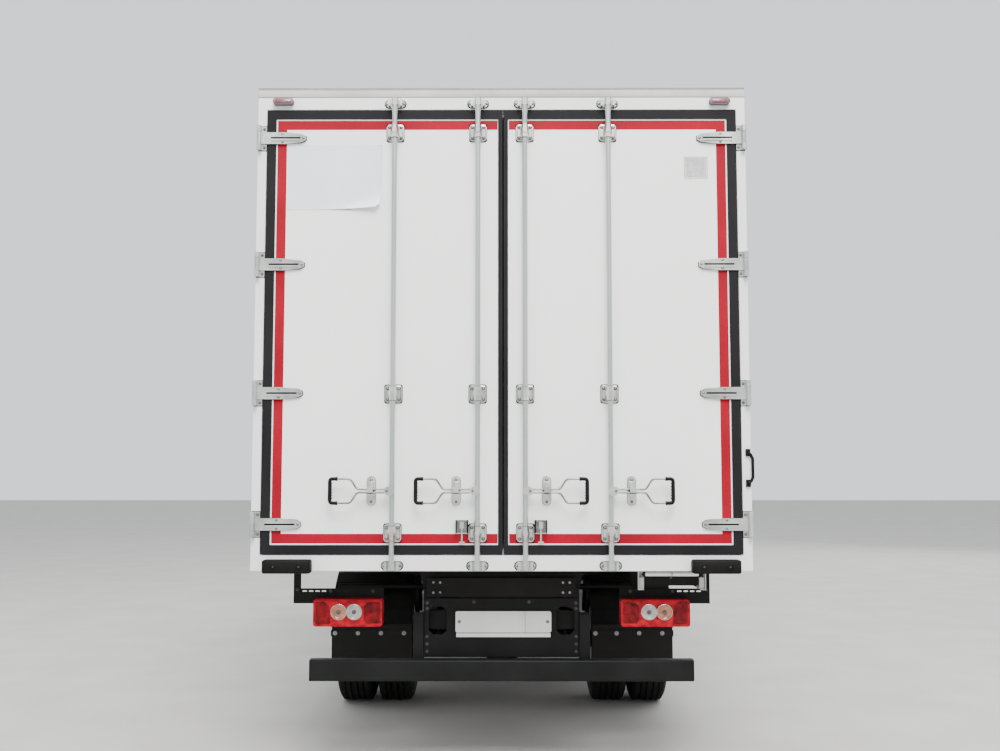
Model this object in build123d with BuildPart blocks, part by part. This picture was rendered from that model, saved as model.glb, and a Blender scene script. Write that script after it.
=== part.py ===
from build123d import *
from math import asin, cos, pi, radians, sin
import os

# Insulated box truck: a cab-over chassis with twin rear wheels and an insulated body.
# Millimetres. X runs to the vehicle's right, Y runs forward, Z runs up from the ground.
# The origin lies on the ground, in the middle of the overall length and width.
# A "station" is a distance forward of the rear face of the body.

os.makedirs("parts", exist_ok=True)

# Body
box_width = 2600.0
box_height = 2560.0
box_length = 6100.0
box_bottom = 1080.0
wall_thickness = 80.0
floor_thickness = 110.0
roof_thickness = 90.0
box_top = box_bottom + box_height
half_box = box_width / 2

# Rear frame round the doors
frame_depth = 100.0
post_width = 48.0
header_height = 120.0
sill_height = 82.0
rebate_depth = 30.0
rebate_step = 30.0

# Rear doors
door_thickness = 85.0
door_gap = 5.0
seal_width = 47.0
seal_proud = 6.0
seal_depth = 24.0
meeting_x = 9.0
meeting_gap = 6.0
meeting_seal = 23.5
plug_chamfer = 12.0

# Door hinges
hinge_count = 4
hinge_pitch = 681.0
hinge_lowest = 1320.0
hinge_inset = 12.0
hinge_back = 25.0
knuckle_radius = 12.0
hinge_pin_radius = 6.0
hinge_clearance = 0.5
strap_length = 247.0
strap_root_height = 63.0
strap_tip_height = 44.0
strap_nose_height = 20.0
strap_nose_length = 24.0
strap_thickness = 8.0
strap_rib_height = 30.0
strap_groove_height = 9.0
strap_rib_depth = 5.0
strap_rib_start = 60.0
hinge_plate_height = 130.0
hinge_plate_thickness = 4.0
hinge_lug_gap = 1.0

# Lock bars on the doors
rod_radius = 13.5
rod_sides = 12
rod_back = 45.0
rod_offsets = (124.0, 565.0)
lock_overlap = 30.0
guide_size = 92.0
guide_corner = 14.0
guide_plate = 5.0
guide_heights = (1275.0, 1997.0, 3392.0)
saddle_width = 76.0
saddle_height = 72.0
saddle_foot = 5.0
saddle_skin = 4.5
collar_height = 22.0
collar_skin = 4.0
cam_width = 34.0
cam_height = 36.0
cam_chamfer = 7.0
keeper_width = 110.0
keeper_height = 40.0
keeper_thickness = 8.0
keeper_horn = 12.0
cam_clearance = 8.0

# Folding handles and their catches
handle_height = 1493.0
handle_back = 64.0
handle_wire_radius = 5.0
handle_reach = 318.0
handle_neck = 178.0
handle_shoulder = 212.0
neck_half = 8.0
grip_half = 62.0
wire_corner = 14.0
hub_length = 52.0
hub_height = 46.0
hub_thickness = 20.0
catch_offset = 111.0
catch_width = 45.0
catch_height = 147.0
catch_jaw_width = 30.0
catch_jaw_plate = 8.0
catch_play = 2.0

# Seal locks beside the inner bars
seal_lock_offset = 80.0
seal_lock_width = 62.0
seal_lock_tall = 66.0
seal_lock_depth = 40.0
seal_lock_plate = 5.0
lock_block_height = 1310.0
tee_drop = 85.0
tee_width = 28.0
tee_wire = 8.0

# Corner buffers and grab handle
buffer_reach = 80.0
buffer_width = 248.0
buffer_height = 70.0
buffer_inset = 198.0
buffer_rise = 27.0
buffer_corner = 18.0
grab_heights = (1532.0, 1691.0)
grab_radius = 8.0
grab_bulge = 17.0
grab_foot_width = 24.0
grab_foot_height = 38.0
grab_foot_depth = 12.0
grab_corner = 12.0

# Overall length, and the zero station
cab_gap = 150.0
cab_length = 1670.0
bumper_lead = 10.0
cab_back = box_length + cab_gap
cab_front = cab_back + cab_length
front_station = cab_front + bumper_lead
rear_plane = buffer_reach - (buffer_reach + front_station) / 2

# Chassis frame
rail_outer = 850.0
rail_height = 170.0
rail_flange = 70.0
rail_plate = 8.0
rail_top = 870.0
rail_rear = 350.0
rail_setback = 220.0
rail_front = cab_front - rail_setback
crossmember_count = 5
crossmember_width = 70.0
crossmember_height = 100.0
half_rail = rail_outer / 2
rail_bottom = rail_top - rail_height

# Subframe under the body
runner_height = 80.0
runner_rear = 360.0
runner_setback = 60.0
bearer_count = 7
bearer_width = 60.0
bearer_tip = 60.0
bearer_inset = 150.0
rear_bar_low = 912.0
rear_bar_high = 1014.0
rear_bar_plate = 16.0
ladder_front = 1100.0

# Wheels
tyre_radius = 419.0
tyre_width = 248.0
tread_width = 190.0
bead_width = 168.0
rim_radius = 247.5
rim_flange = 14.5
rim_offset = 137.5
rim_width = 194.0
rim_skin = 7.5
disc_plate = 9.0
disc_radius = 168.0
disc_bore = 80.0
hand_hole_count = 8
tyre_side_count = 30
rim_side_count = 16
rear_axle_station = 2295.0
front_axle_lead = 395.0
front_axle_station = cab_back + front_axle_lead
front_track = 1960.0
rear_track = 1740.0
axle_z = tyre_radius

# Axles, springs and steering
axle_tube_radius = 65.0
spindle_radius = 50.0
bearing_clearance = 0.5
diff_radius = 190.0
spring_x = 405.0
spring_width = 70.0
leaf_thickness = 12.0
leaf_count = (6, 5)
spring_pad = 20.0
eye_radius = 25.0
hanger_cheek = 8.0
beam_depth = 80.0
beam_height = 95.0
kingpin_x = 850.0
kingpin_radius = 20.0
boss_radius = 42.0
boss_height = 88.0
knuckle_gap = 5.0
lug_height = 32.0
knuckle_plate = 28.0
stub_radius = 35.0
arm_length = 170.0
track_rod_radius = 18.0
ball_pin_radius = 12.0
ball_clearance = 0.5

# Cab
cab_bottom = 900.0
cab_top = 2760.0
cab_half_width = 1120.0
cab_wall = 60.0
cab_floor = 1150.0
cab_floor_plate = 60.0
cab_belt = 1650.0
cab_door_gap = 10.0
door_front_setback = 230.0
door_hinge_lead = 40.0
door_hinge_inset = 20.0
door_hinge_heights = (1180.0, 1520.0)
door_hinge_height = 70.0
door_pin_radius = 8.0
door_knuckle_radius = 14.0
door_pocket_gap = 7.0
tunnel_half = 420.0
tunnel_top = 1300.0
tunnel_skin = 50.0
arch_radius = 530.0
glass_inset = 22.0
glass_thickness = 6.0
grille_half = 620.0
grille_low = 1060.0
grille_high = 1560.0
grille_bar_count = 5
pivot_setback = 110.0
pivot_z = 640.0
pivot_radius = 30.0
pivot_station = front_station - pivot_setback
bumper_top = 868.0
bumper_bottom = 420.0
bumper_thickness = 45.0
bumper_half = 1116.0


def at(station):
    """The Y coordinate of a station."""
    return rear_plane + station


def spread(first, last, count):
    """Evenly spaced values from the first to the last."""
    return [first + (last - first) * i / (count - 1) for i in range(count)]


def pair(side, inner, outer):
    """The X range between two distances from the middle, on one side of the vehicle."""
    return tuple(sorted((side * inner, side * outer)))


def block(x_range, station_range, z_range, mode=Mode.ADD):
    """A box between two X values, two stations and two heights."""
    x_low, x_high = x_range
    y_low, y_high = at(station_range[0]), at(station_range[1])
    z_low, z_high = z_range
    centre = ((x_low + x_high) / 2, (y_low + y_high) / 2, (z_low + z_high) / 2)
    with Locations(centre):
        return Box(x_high - x_low, y_high - y_low, z_high - z_low, mode=mode)


def upright(x, station, z_range, radius, mode=Mode.ADD):
    """A vertical cylinder between two heights."""
    z_low, z_high = z_range
    with Locations((x, at(station), (z_low + z_high) / 2)):
        return Cylinder(radius, z_high - z_low, mode=mode)


def crosswise(x_range, station, z, radius, mode=Mode.ADD):
    """A cylinder along X between two X values."""
    x_low, x_high = x_range
    with Locations(((x_low + x_high) / 2, at(station), z)):
        return Cylinder(radius, x_high - x_low, rotation=(0, 90, 0), mode=mode)


def sided(plane, radius, sides, length, mode=Mode.ADD):
    """A straight bar with a many-sided section, drawn from a plane along its normal."""
    with BuildSketch(plane) as section:
        RegularPolygon(radius, sides, rotation=180 / sides)
    return extrude(section.sketch, amount=length, mode=mode)


def sided_upright(x, station, z_range, radius, sides):
    """A vertical many-sided bar between two heights."""
    plane = Plane(origin=(x, at(station), z_range[0]), z_dir=(0, 0, 1))
    return sided(plane, radius, sides, z_range[1] - z_range[0])


def sided_crosswise(x_range, station, z, radius, sides):
    """A many-sided bar along X between two X values."""
    plane = Plane(origin=(x_range[0], at(station), z), x_dir=(0, 1, 0), z_dir=(1, 0, 0))
    return sided(plane, radius, sides, x_range[1] - x_range[0])


def softened(points, cut):
    """A polyline's points with each inner corner cut off, for a bent wire."""
    bent = [points[0]]
    for before, here, after in zip(points, points[1:], points[2:]):
        for other in (before, after):
            step = Vector(*other) - Vector(*here)
            bent.append(tuple(Vector(*here) + step.normalized() * cut)[: len(here)])
    bent.append(points[-1])
    return bent


# Insulated body: floor, side walls, front wall and roof, each as thick as the whole panel
floor_top = box_bottom + floor_thickness
roof_bottom = box_top - roof_thickness
inner_half = half_box - wall_thickness
bulkhead = box_length - wall_thickness

with BuildPart() as box_floor:
    block((-inner_half, inner_half), (frame_depth, bulkhead), (box_bottom, floor_top))

with BuildPart() as box_side_walls:
    block((inner_half, half_box), (frame_depth, box_length), (box_bottom, roof_bottom))
    mirror(about=Plane.YZ)

with BuildPart() as box_front_wall:
    block((-inner_half, inner_half), (bulkhead, box_length), (box_bottom, roof_bottom))

with BuildPart() as box_roof:
    block((-half_box, half_box), (frame_depth, box_length), (roof_bottom, box_top))

# Rear frame: two posts, a header and a sill, with a rebate that the door seals close on
opening_half = half_box - post_width
opening_low = box_bottom + sill_height
opening_high = box_top - header_height

with BuildPart() as rear_frame:
    block((-half_box, half_box), (0, frame_depth), (box_bottom, box_top))
    block((-opening_half, opening_half), (0, rebate_depth), (opening_low, opening_high), Mode.SUBTRACT)
    rebate_half = opening_half - rebate_step
    rebate_z = (floor_top, opening_high - rebate_step)
    block((-rebate_half, rebate_half), (rebate_depth, frame_depth), rebate_z, Mode.SUBTRACT)

# Rear doors: an insulated plug with a rubber seal round it, hinges and two lock bars
leaf_outer = opening_half - door_gap
leaf_low = opening_low + door_gap
leaf_high = opening_high - door_gap
plug_outer = leaf_outer - seal_width
plug_low = leaf_low + seal_width
plug_high = leaf_high - seal_width
hinge_x = half_box - hinge_inset
hinge_heights = [hinge_lowest + hinge_pitch * i for i in range(hinge_count)]
keeper_heights = (box_bottom + sill_height / 3, opening_high + lock_overlap)


def hinge_strap(side, z):
    """One strap hinge leaf: a knuckle at the corner post and a ribbed strap with a clipped nose."""
    tip = hinge_x - strap_length
    knee = plug_outer - seal_width
    half_root = strap_root_height / 2
    half_tip = strap_tip_height / 2
    half_nose = strap_nose_height / 2
    nose = (
        (knee, z + half_root),
        (tip + strap_nose_length, z + half_tip),
        (tip, z + half_nose),
        (tip, z - half_nose),
        (tip + strap_nose_length, z - half_tip),
        (knee, z - half_root),
    )
    face = -at(-seal_proud)
    with BuildPart() as strap:
        with BuildSketch(Plane.XZ.offset(face)):
            Polygon((hinge_x, z + half_root), *nose, (hinge_x, z - half_root), align=None)
        extrude(amount=strap_thickness)
        with BuildSketch(Plane.XZ.offset(face)):
            Polygon((plug_outer, z + half_root), *nose, (plug_outer, z - half_root), align=None)
        extrude(amount=-seal_proud)
        rib_x = (tip + strap_nose_length + strap_rib_depth, hinge_x - strap_rib_start)
        rib_y = (-seal_proud - strap_thickness - strap_rib_depth, -seal_proud - strap_thickness)
        block(rib_x, rib_y, (z - strap_rib_height / 2, z + strap_rib_height / 2))
        block(rib_x, rib_y, (z - strap_groove_height / 2, z + strap_groove_height / 2), Mode.SUBTRACT)
        knuckle_z = (z - half_root, z + half_root)
        block((hinge_x - knuckle_radius, hinge_x), (-hinge_back, -seal_proud), knuckle_z)
        sided_upright(hinge_x, -hinge_back, knuckle_z, knuckle_radius, 10)
        upright(hinge_x, -hinge_back, knuckle_z, hinge_pin_radius + hinge_clearance, Mode.SUBTRACT)
    return strap.part if side > 0 else strap.part.mirror(Plane.YZ)


def bar_guide(x, z):
    """A guide: a back plate with cut corners and an omega saddle with a collar round the bar."""
    foot = -guide_plate - saddle_foot
    half = saddle_width / 2
    crown = -rod_back - rod_radius
    with BuildPart() as guide:
        with BuildSketch(Plane.XZ.offset(-at(0))):
            with Locations((x, z)):
                Rectangle(guide_size, guide_size)
            chamfer(vertices(), guide_corner)
        extrude(amount=guide_plate)
        for height, skin in ((saddle_height, saddle_skin), (collar_height, saddle_skin + collar_skin)):
            wall = rod_radius + skin
            with BuildSketch(Plane.XY.offset(z - height / 2)):
                Polygon(
                    (x - half, at(-guide_plate)),
                    (x - half, at(foot)),
                    (x - wall, at(foot)),
                    (x - wall, at(-rod_back)),
                    (x - wall / 2, at(crown - skin)),
                    (x + wall / 2, at(crown - skin)),
                    (x + wall, at(-rod_back)),
                    (x + wall, at(foot)),
                    (x + half, at(foot)),
                    (x + half, at(-guide_plate)),
                    align=None,
                )
            extrude(amount=height)
    return guide.part


def lock_bar(side, rod_x):
    """One lock bar with its cams, guides and folding handle."""
    x = side * rod_x
    z = handle_height
    low_keeper, high_keeper = keeper_heights
    outline = (
        (hub_length / 2, neck_half),
        (handle_neck, neck_half),
        (handle_shoulder, grip_half),
        (handle_reach, grip_half),
        (handle_reach, -grip_half),
        (handle_shoulder, -grip_half),
        (handle_neck, -neck_half),
        (hub_length / 2, -neck_half),
    )
    guides = [bar_guide(x, height) for height in guide_heights]
    with BuildPart() as bar:
        rod_z = (low_keeper - cam_height / 2, high_keeper + cam_height / 2)
        sided_upright(x, -rod_back, rod_z, rod_radius / cos(pi / rod_sides), rod_sides)
        for height in keeper_heights:
            with BuildSketch(Plane.XY.offset(height - cam_height / 2)):
                with Locations((x, at(-rod_back))):
                    Rectangle(cam_width, 2 * rod_radius)
                chamfer(vertices(), cam_chamfer)
            extrude(amount=cam_height)
        add(guides)
        hub_back = handle_back + hub_thickness / 2
        with BuildSketch(Plane.XZ.offset(-at(-rod_back))):
            with Locations((x + side * hub_length / 4, z)):
                Rectangle(hub_length, hub_height)
            chamfer(vertices(), wire_corner)
        extrude(amount=hub_back - rod_back)
        plane = Plane(origin=(x, at(-handle_back), z), x_dir=(side, 0, 0), z_dir=(0, -side, 0))
        with BuildLine(plane) as wire:
            Polyline(*softened(outline, wire_corner))
        with BuildSketch(Plane(origin=wire.line @ 0, z_dir=wire.line % 0)):
            RegularPolygon(handle_wire_radius, 6)
        sweep(path=wire.line, transition=Transition.RIGHT)
    return bar.part


def handle_catch(side, rod_x):
    """The catch that holds a folded handle: an oblong plate, a rest below and a hooked jaw above."""
    x = side * (rod_x + catch_offset)
    half = catch_jaw_width / 2
    wire_half = neck_half + handle_wire_radius + catch_play
    wire_back = handle_back + handle_wire_radius + catch_play
    with BuildPart() as catch:
        with BuildSketch(Plane.XZ.offset(-at(0))):
            with Locations((x, handle_height)):
                Rectangle(catch_width, catch_height)
            chamfer(vertices(), catch_width / 3)
        extrude(amount=guide_plate)
        rest_z = (handle_height - wire_half - catch_jaw_plate, handle_height - wire_half)
        block((x - half, x + half), (-wire_back, -guide_plate), rest_z)
        jaw_z = (handle_height + wire_half, handle_height + wire_half + catch_jaw_plate)
        block((x - half, x + half), (-wire_back - catch_jaw_plate, -guide_plate), jaw_z)
        lip_z = (handle_height - neck_half, jaw_z[1])
        block((x - half, x + half), (-wire_back - catch_jaw_plate, -wire_back), lip_z)
    return catch.part


def seal_lock(side):
    """The seal lock beside the inner bar: a channel with a block in it and a hanging tee."""
    x = side * (rod_offsets[0] + seal_lock_offset)
    z = lock_block_height
    half = seal_lock_width / 2
    half_tall = seal_lock_tall / 2
    core = half / 3
    with BuildPart() as lock:
        block((x - half, x + half), (-seal_lock_plate, 0), (z - half_tall, z + half_tall))
        for low in (x - half, x + half - seal_lock_plate):
            block((low, low + seal_lock_plate), (-seal_lock_depth, 0), (z - half_tall, z + half_tall))
        block((x - core, x + core), (-seal_lock_depth, 0), (z - core, z + half_tall - core))
        stem = (-seal_lock_depth / 2 - tee_wire, -seal_lock_depth / 2)
        block((x - tee_wire / 2, x + tee_wire / 2), stem, (z - tee_drop, z - core))
        block((x - tee_width / 2, x + tee_width / 2), stem, (z - tee_drop, z - tee_drop + tee_wire))
    return lock.part


for side, hand in ((-1, "left"), (1, "right")):
    plug_x = tuple(sorted((side * plug_outer, meeting_x + side * (meeting_gap / 2 + meeting_seal))))
    seal_x = tuple(sorted((side * leaf_outer, meeting_x + side * meeting_gap / 2)))
    strap_parts = [hinge_strap(side, z) for z in hinge_heights]
    lock_parts = [lock_bar(side, rod_x) for rod_x in rod_offsets]
    lock_parts += [handle_catch(side, rod_x) for rod_x in rod_offsets]
    lock_parts.append(seal_lock(side))

    with BuildPart() as door_panel:
        block(plug_x, (0, door_thickness), (plug_low, plug_high))
        chamfer(door_panel.faces().sort_by(Axis.Y)[-1].edges(), plug_chamfer)
    door_panel.part.label = f"rear_door_{hand}_panel"
    export_step(door_panel.part, f"parts/rear_door_{hand}_panel.step")

    with BuildPart() as door_seal:
        block(seal_x, (-seal_proud, seal_depth), (leaf_low, leaf_high))
        block(plug_x, (-seal_proud, seal_depth), (plug_low, plug_high), Mode.SUBTRACT)
    door_seal.part.label = f"rear_door_{hand}_seal"
    export_step(door_seal.part, f"parts/rear_door_{hand}_seal.step")

    with BuildPart() as door_hinges:
        add(strap_parts)
    door_hinges.part.label = f"rear_door_{hand}_hinges"
    export_step(door_hinges.part, f"parts/rear_door_{hand}_hinges.step")

    with BuildPart() as door_locks:
        add(lock_parts)
    door_locks.part.label = f"rear_door_{hand}_locks"
    export_step(door_locks.part, f"parts/rear_door_{hand}_locks.step")

# Hinge brackets, hinge pins and lock keepers on the rear frame
with BuildPart() as frame_fittings:
    for z in hinge_heights:
        half = hinge_plate_height / 2
        lug_start = strap_root_height / 2 + hinge_lug_gap
        plate_edge = half_box - hinge_plate_thickness / 2
        block((opening_half, plate_edge), (-hinge_plate_thickness, 0), (z - half, z + half))
        for low, high in ((z - half, z - lug_start), (z + lug_start, z + half)):
            with BuildSketch(Plane.XY.offset(low)):
                Polygon(
                    (hinge_x - knuckle_radius, at(0)),
                    (hinge_x - knuckle_radius, at(-hinge_back - knuckle_radius / 2)),
                    (hinge_x - knuckle_radius / 2, at(-hinge_back - knuckle_radius)),
                    (hinge_x + knuckle_radius / 2, at(-hinge_back - knuckle_radius)),
                    (hinge_x + knuckle_radius, at(-hinge_back - knuckle_radius / 2)),
                    (hinge_x + knuckle_radius, at(0)),
                    align=None,
                )
            extrude(amount=high - low)
        upright(hinge_x, -hinge_back, (z - half, z + half), hinge_pin_radius)
    for rod_x in rod_offsets:
        for z in keeper_heights:
            wide, tall = keeper_width / 2, keeper_height / 2
            with BuildSketch(Plane.XZ.offset(-at(0))):
                with Locations((rod_x, z)):
                    Rectangle(keeper_width, keeper_height)
                chamfer(vertices(), keeper_height / 2.5)
            extrude(amount=keeper_thickness)
            near = cam_width / 2 + cam_clearance
            for low in (rod_x - near - keeper_horn, rod_x + near):
                block((low, low + keeper_horn), (-rod_back, -keeper_thickness), (z - tall, z + tall))
    mirror(about=Plane.YZ)

with BuildPart() as corner_buffers:
    with BuildSketch(Plane.XZ.offset(-at(0))):
        with Locations((half_box - buffer_inset, box_bottom + buffer_rise)):
            RectangleRounded(buffer_width, buffer_height, buffer_corner)
    extrude(amount=buffer_reach)
    mirror(about=Plane.YZ)

with BuildPart() as grab_handle:
    low, high = grab_heights
    foot_x = hinge_x - grab_foot_width / 4
    foot_half = grab_foot_height / 2
    for z in grab_heights:
        foot = (foot_x - grab_foot_width / 2, foot_x + grab_foot_width / 2)
        block(foot, (-grab_foot_depth, 0), (z - foot_half, z + foot_half))
    bar_x = hinge_x + grab_bulge
    bar_y = at(-grab_foot_depth)
    bends = (
        (foot_x, bar_y, low),
        (bar_x, bar_y, low + foot_half),
        (bar_x, bar_y, high - foot_half),
        (foot_x, bar_y, high),
    )
    with BuildLine() as grab_path:
        Polyline(*softened(bends, grab_corner))
    with BuildSketch(Plane(origin=grab_path.line @ 0, z_dir=grab_path.line % 0)):
        RegularPolygon(grab_radius, 8)
    sweep(path=grab_path.line, transition=Transition.RIGHT)

# Chassis rails: two channels, open towards the middle
web_inner = half_rail - rail_plate

with BuildPart() as chassis_rails:
    block((half_rail - rail_flange, half_rail), (rail_rear, rail_front), (rail_bottom, rail_top))
    block((half_rail - rail_flange, web_inner), (rail_rear, rail_front),
          (rail_bottom + rail_plate, rail_top - rail_plate), Mode.SUBTRACT)
    mirror(about=Plane.YZ)

with BuildPart() as subframe_runners:
    runner_top = rail_top + runner_height
    block((half_rail - rail_flange, half_rail), (runner_rear, box_length - runner_setback),
          (rail_top, runner_top))
    mirror(about=Plane.YZ)

# Crossmembers between the rails, tapered bearers under the floor and the rear cross bar
gearbox_rear = cab_back - 350.0
middle_z = (rail_top + rail_bottom) / 2
members = spread(rail_rear + crossmember_width, gearbox_rear - 400, crossmember_count)
members.append(rail_front - crossmember_width)
bearer_half = half_box - bearer_inset
full_bearers = spread(ladder_front + 110, box_length - bearer_inset, bearer_count)
bearers = [(runner_rear + bearer_width, half_rail + 20)]
bearers += [(station, bearer_half) for station in full_bearers]
rear_bar_half = half_rail - rear_bar_plate

with BuildPart() as cross_members:
    for station in members:
        block((-web_inner, web_inner), (station - crossmember_width / 2, station + crossmember_width / 2),
              (middle_z - crossmember_height / 2, middle_z + crossmember_height / 2))
    for station, half in bearers:
        with BuildSketch(Plane.XZ.offset(-at(station - bearer_width / 2))):
            Polygon(
                (-half, box_bottom),
                (half, box_bottom),
                (half, box_bottom - bearer_tip),
                (half_rail, runner_top),
                (-half_rail, runner_top),
                (-half, box_bottom - bearer_tip),
                align=None,
            )
        extrude(amount=-bearer_width)
    block((-rear_bar_half, rear_bar_half), (runner_rear - rear_bar_plate, runner_rear),
          (rear_bar_low, rear_bar_high))

# Springs: axle station, half length, height of the eyes, top of the axle under the spring
rear_spring_seat = axle_z + axle_tube_radius
front_spring_seat = axle_z - 19.0
springs = (
    (rear_axle_station, 650.0, 640.0, rear_spring_seat),
    (front_axle_station, 560.0, 560.0, front_spring_seat),
)
eye_edge = 10.0
clamp_half = 60.0

with BuildPart() as leaf_springs:
    for leaves, (axle_station, half_length, eye_z, seat_z) in zip(leaf_count, springs):
        top_z = seat_z + spring_pad + leaves * leaf_thickness
        rise = eye_z - top_z
        radius = (half_length**2 + rise**2) / (2 * rise)
        steps = leaves + 2
        turn = asin(half_length / radius) / steps
        centre_z = top_z + radius
        outline = [(step * turn, radius) for step in range(-steps, steps + 1)]
        for leaf in range(leaves):
            outer = radius + (leaf + 1) * leaf_thickness
            outline += [(step * turn, outer) for step in (steps - leaf, steps - leaf - 1)]
        low_run = range(steps - leaves - 1, leaves - steps, -1)
        outline += [(step * turn, radius + leaves * leaf_thickness) for step in low_run]
        for leaf in reversed(range(leaves)):
            outer = radius + (leaf + 1) * leaf_thickness
            outline += [(-step * turn, outer) for step in (steps - leaf - 1, steps - leaf)]
        points = [(at(axle_station) + reach * sin(a), centre_z - reach * cos(a)) for a, reach in outline]
        left_x = spring_x - spring_width / 2
        with BuildSketch(Plane.YZ.offset(left_x)):
            Polygon(*points, align=None)
        extrude(amount=spring_width)
        for station in (axle_station - half_length, axle_station + half_length):
            sided_crosswise((left_x, left_x + spring_width), station, eye_z, eye_radius, 10)
        block((left_x - hanger_cheek, left_x + spring_width + hanger_cheek),
              (axle_station - clamp_half, axle_station + clamp_half), (seat_z, top_z + leaf_thickness))
    mirror(about=Plane.YZ)

# Brackets on the rails: spring hangers, the cab's rear posts and the cab pivot at the front
hanger_half = 40.0
post_lead = 100.0
post_depth = 70.0
post_top = 1025.0
pivot_half = 500.0
pivot_plate = 12.0
pivot_cheek = 40.0
bracket_edge = 10.0

with BuildPart() as frame_brackets:
    for axle_station, half_length, eye_z, seat_z in springs:
        for station in (axle_station - half_length, axle_station + half_length):
            inner = spring_x - spring_width / 2 - hanger_cheek
            outer = spring_x + spring_width / 2 + hanger_cheek
            low = eye_z - eye_radius - eye_edge
            span = (station - hanger_half, station + hanger_half)
            block((inner, outer), span, (low, rail_bottom))
            block((inner + hanger_cheek, outer - hanger_cheek), span, (low, rail_bottom - hanger_cheek),
                  Mode.SUBTRACT)
    block((half_rail, pivot_half), (cab_back + post_lead, cab_back + post_lead + post_depth),
          (rail_bottom + bracket_edge, post_top))
    mirror(about=Plane.YZ)
    crosswise((-pivot_half, pivot_half), pivot_station, pivot_z, pivot_radius)
    for inner in (half_rail, -half_rail - pivot_plate):
        with BuildSketch(Plane.YZ.offset(inner)):
            Polygon(
                (at(rail_front - 4 * pivot_cheek), rail_bottom + bracket_edge),
                (at(rail_front - 4 * pivot_cheek), rail_top - bracket_edge),
                (at(rail_front), rail_top - bracket_edge),
                (at(pivot_station + pivot_cheek), pivot_z + pivot_cheek),
                (at(pivot_station + pivot_cheek), pivot_z - pivot_cheek),
                (at(pivot_station - pivot_cheek), pivot_z - pivot_cheek),
                align=None,
            )
        extrude(amount=pivot_plate)

# Axles: the driven rear axle housing and the dropped front beam with its kingpins
rear_twin_x = rear_track / 2
rear_inner_x = rear_twin_x - rim_offset
backing_x = rear_inner_x - tyre_width / 2 + 20
spindle_end = rear_twin_x + 120
nose_length = 380.0
nose_radius = 110.0
beam_shoulder = spring_x + 60
beam_end = kingpin_x - 60
boss_z = (axle_z - boss_height / 2, axle_z + boss_height / 2)
beam_tip = (boss_z[0] + 6, boss_z[1] - 6)
pin_reach = knuckle_gap + lug_height

with BuildPart() as axles:
    sided_crosswise((-backing_x, backing_x), rear_axle_station, axle_z, axle_tube_radius, 12)
    crosswise((-spindle_end, spindle_end), rear_axle_station, axle_z, spindle_radius)
    with BuildSketch(Plane.YZ):
        with Locations((at(rear_axle_station), axle_z)):
            RegularPolygon(diff_radius, 12)
    extrude(amount=nose_radius, both=True, taper=25)
    with BuildSketch(Plane.XZ.offset(-at(rear_axle_station))):
        with Locations((0, axle_z)):
            RegularPolygon(nose_radius, 12)
    extrude(amount=-nose_length, taper=6)
    with BuildSketch(Plane.XZ.offset(-at(front_axle_station - beam_depth / 2))):
        Polygon(
            (-kingpin_x, beam_tip[0]),
            (-beam_end, beam_tip[0]),
            (-beam_shoulder, front_spring_seat - beam_height),
            (beam_shoulder, front_spring_seat - beam_height),
            (beam_end, beam_tip[0]),
            (kingpin_x, beam_tip[0]),
            (kingpin_x, beam_tip[1]),
            (beam_end, beam_tip[1]),
            (beam_shoulder, front_spring_seat),
            (-beam_shoulder, front_spring_seat),
            (-beam_end, beam_tip[1]),
            (-kingpin_x, beam_tip[1]),
            align=None,
        )
    extrude(amount=-beam_depth)
    for x in (-kingpin_x, kingpin_x):
        sided_upright(x, front_axle_station, boss_z, boss_radius, 12)
        upright(x, front_axle_station, (boss_z[0] - pin_reach, boss_z[1] + pin_reach), kingpin_radius)

# Steering knuckles, and the track rod that joins their arms
front_wheel_x = front_track / 2
face_x = kingpin_x + boss_radius + knuckle_gap
stub_end = front_wheel_x + 100
plate_half = 60.0
arm_half = 18.0
arm_thickness = 22.0
ball_pin_length = 38.0
rod_end_radius = ball_pin_radius + 12
rod_end_half = 15.0
rod_drop = 3.0
lug_low = (boss_z[0] - knuckle_gap - lug_height, boss_z[0] - knuckle_gap)
lug_high = (boss_z[1] + knuckle_gap, boss_z[1] + knuckle_gap + lug_height)
arm_station = front_axle_station - arm_length
pin_z = (lug_low[0] - ball_pin_length, lug_low[0])

for side, hand in ((-1, "left"), (1, "right")):
    with BuildPart() as knuckle:
        for z_range in (lug_low, lug_high):
            sided_upright(kingpin_x, front_axle_station, z_range, boss_radius, 12)
            block((kingpin_x, face_x), (front_axle_station - boss_radius, front_axle_station + boss_radius),
                  z_range)
        block((face_x, face_x + knuckle_plate),
              (front_axle_station - plate_half, front_axle_station + plate_half), (lug_low[0], lug_high[1]))
        for z_range in (lug_low, lug_high):
            upright(kingpin_x, front_axle_station, z_range, kingpin_radius + bearing_clearance, Mode.SUBTRACT)
        crosswise((face_x, stub_end), front_axle_station, axle_z, stub_radius)
        arm_front = front_axle_station - boss_radius + 8
        block((kingpin_x - arm_half, kingpin_x + arm_half), (arm_station - arm_half, arm_front),
              (lug_low[0], lug_low[0] + arm_thickness))
        upright(kingpin_x, arm_station, pin_z, ball_pin_radius)
    piece = knuckle.part if side > 0 else knuckle.part.mirror(Plane.YZ)
    piece.label = f"steering_knuckle_{hand}"
    export_step(piece, f"parts/steering_knuckle_{hand}.step")

with BuildPart() as track_rod:
    rod_z = (pin_z[0] + pin_z[1]) / 2 - rod_drop
    sided_crosswise((-kingpin_x, kingpin_x), arm_station, rod_z, track_rod_radius, 8)
    for x in (-kingpin_x, kingpin_x):
        sided_upright(x, arm_station, (rod_z - rod_end_half, rod_z + rod_end_half), rod_end_radius, 8)
        bore_z = (rod_z - 2 * rod_end_half, rod_z + 2 * rod_end_half)
        upright(x, arm_station, bore_z, ball_pin_radius + ball_clearance, Mode.SUBTRACT)


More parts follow.
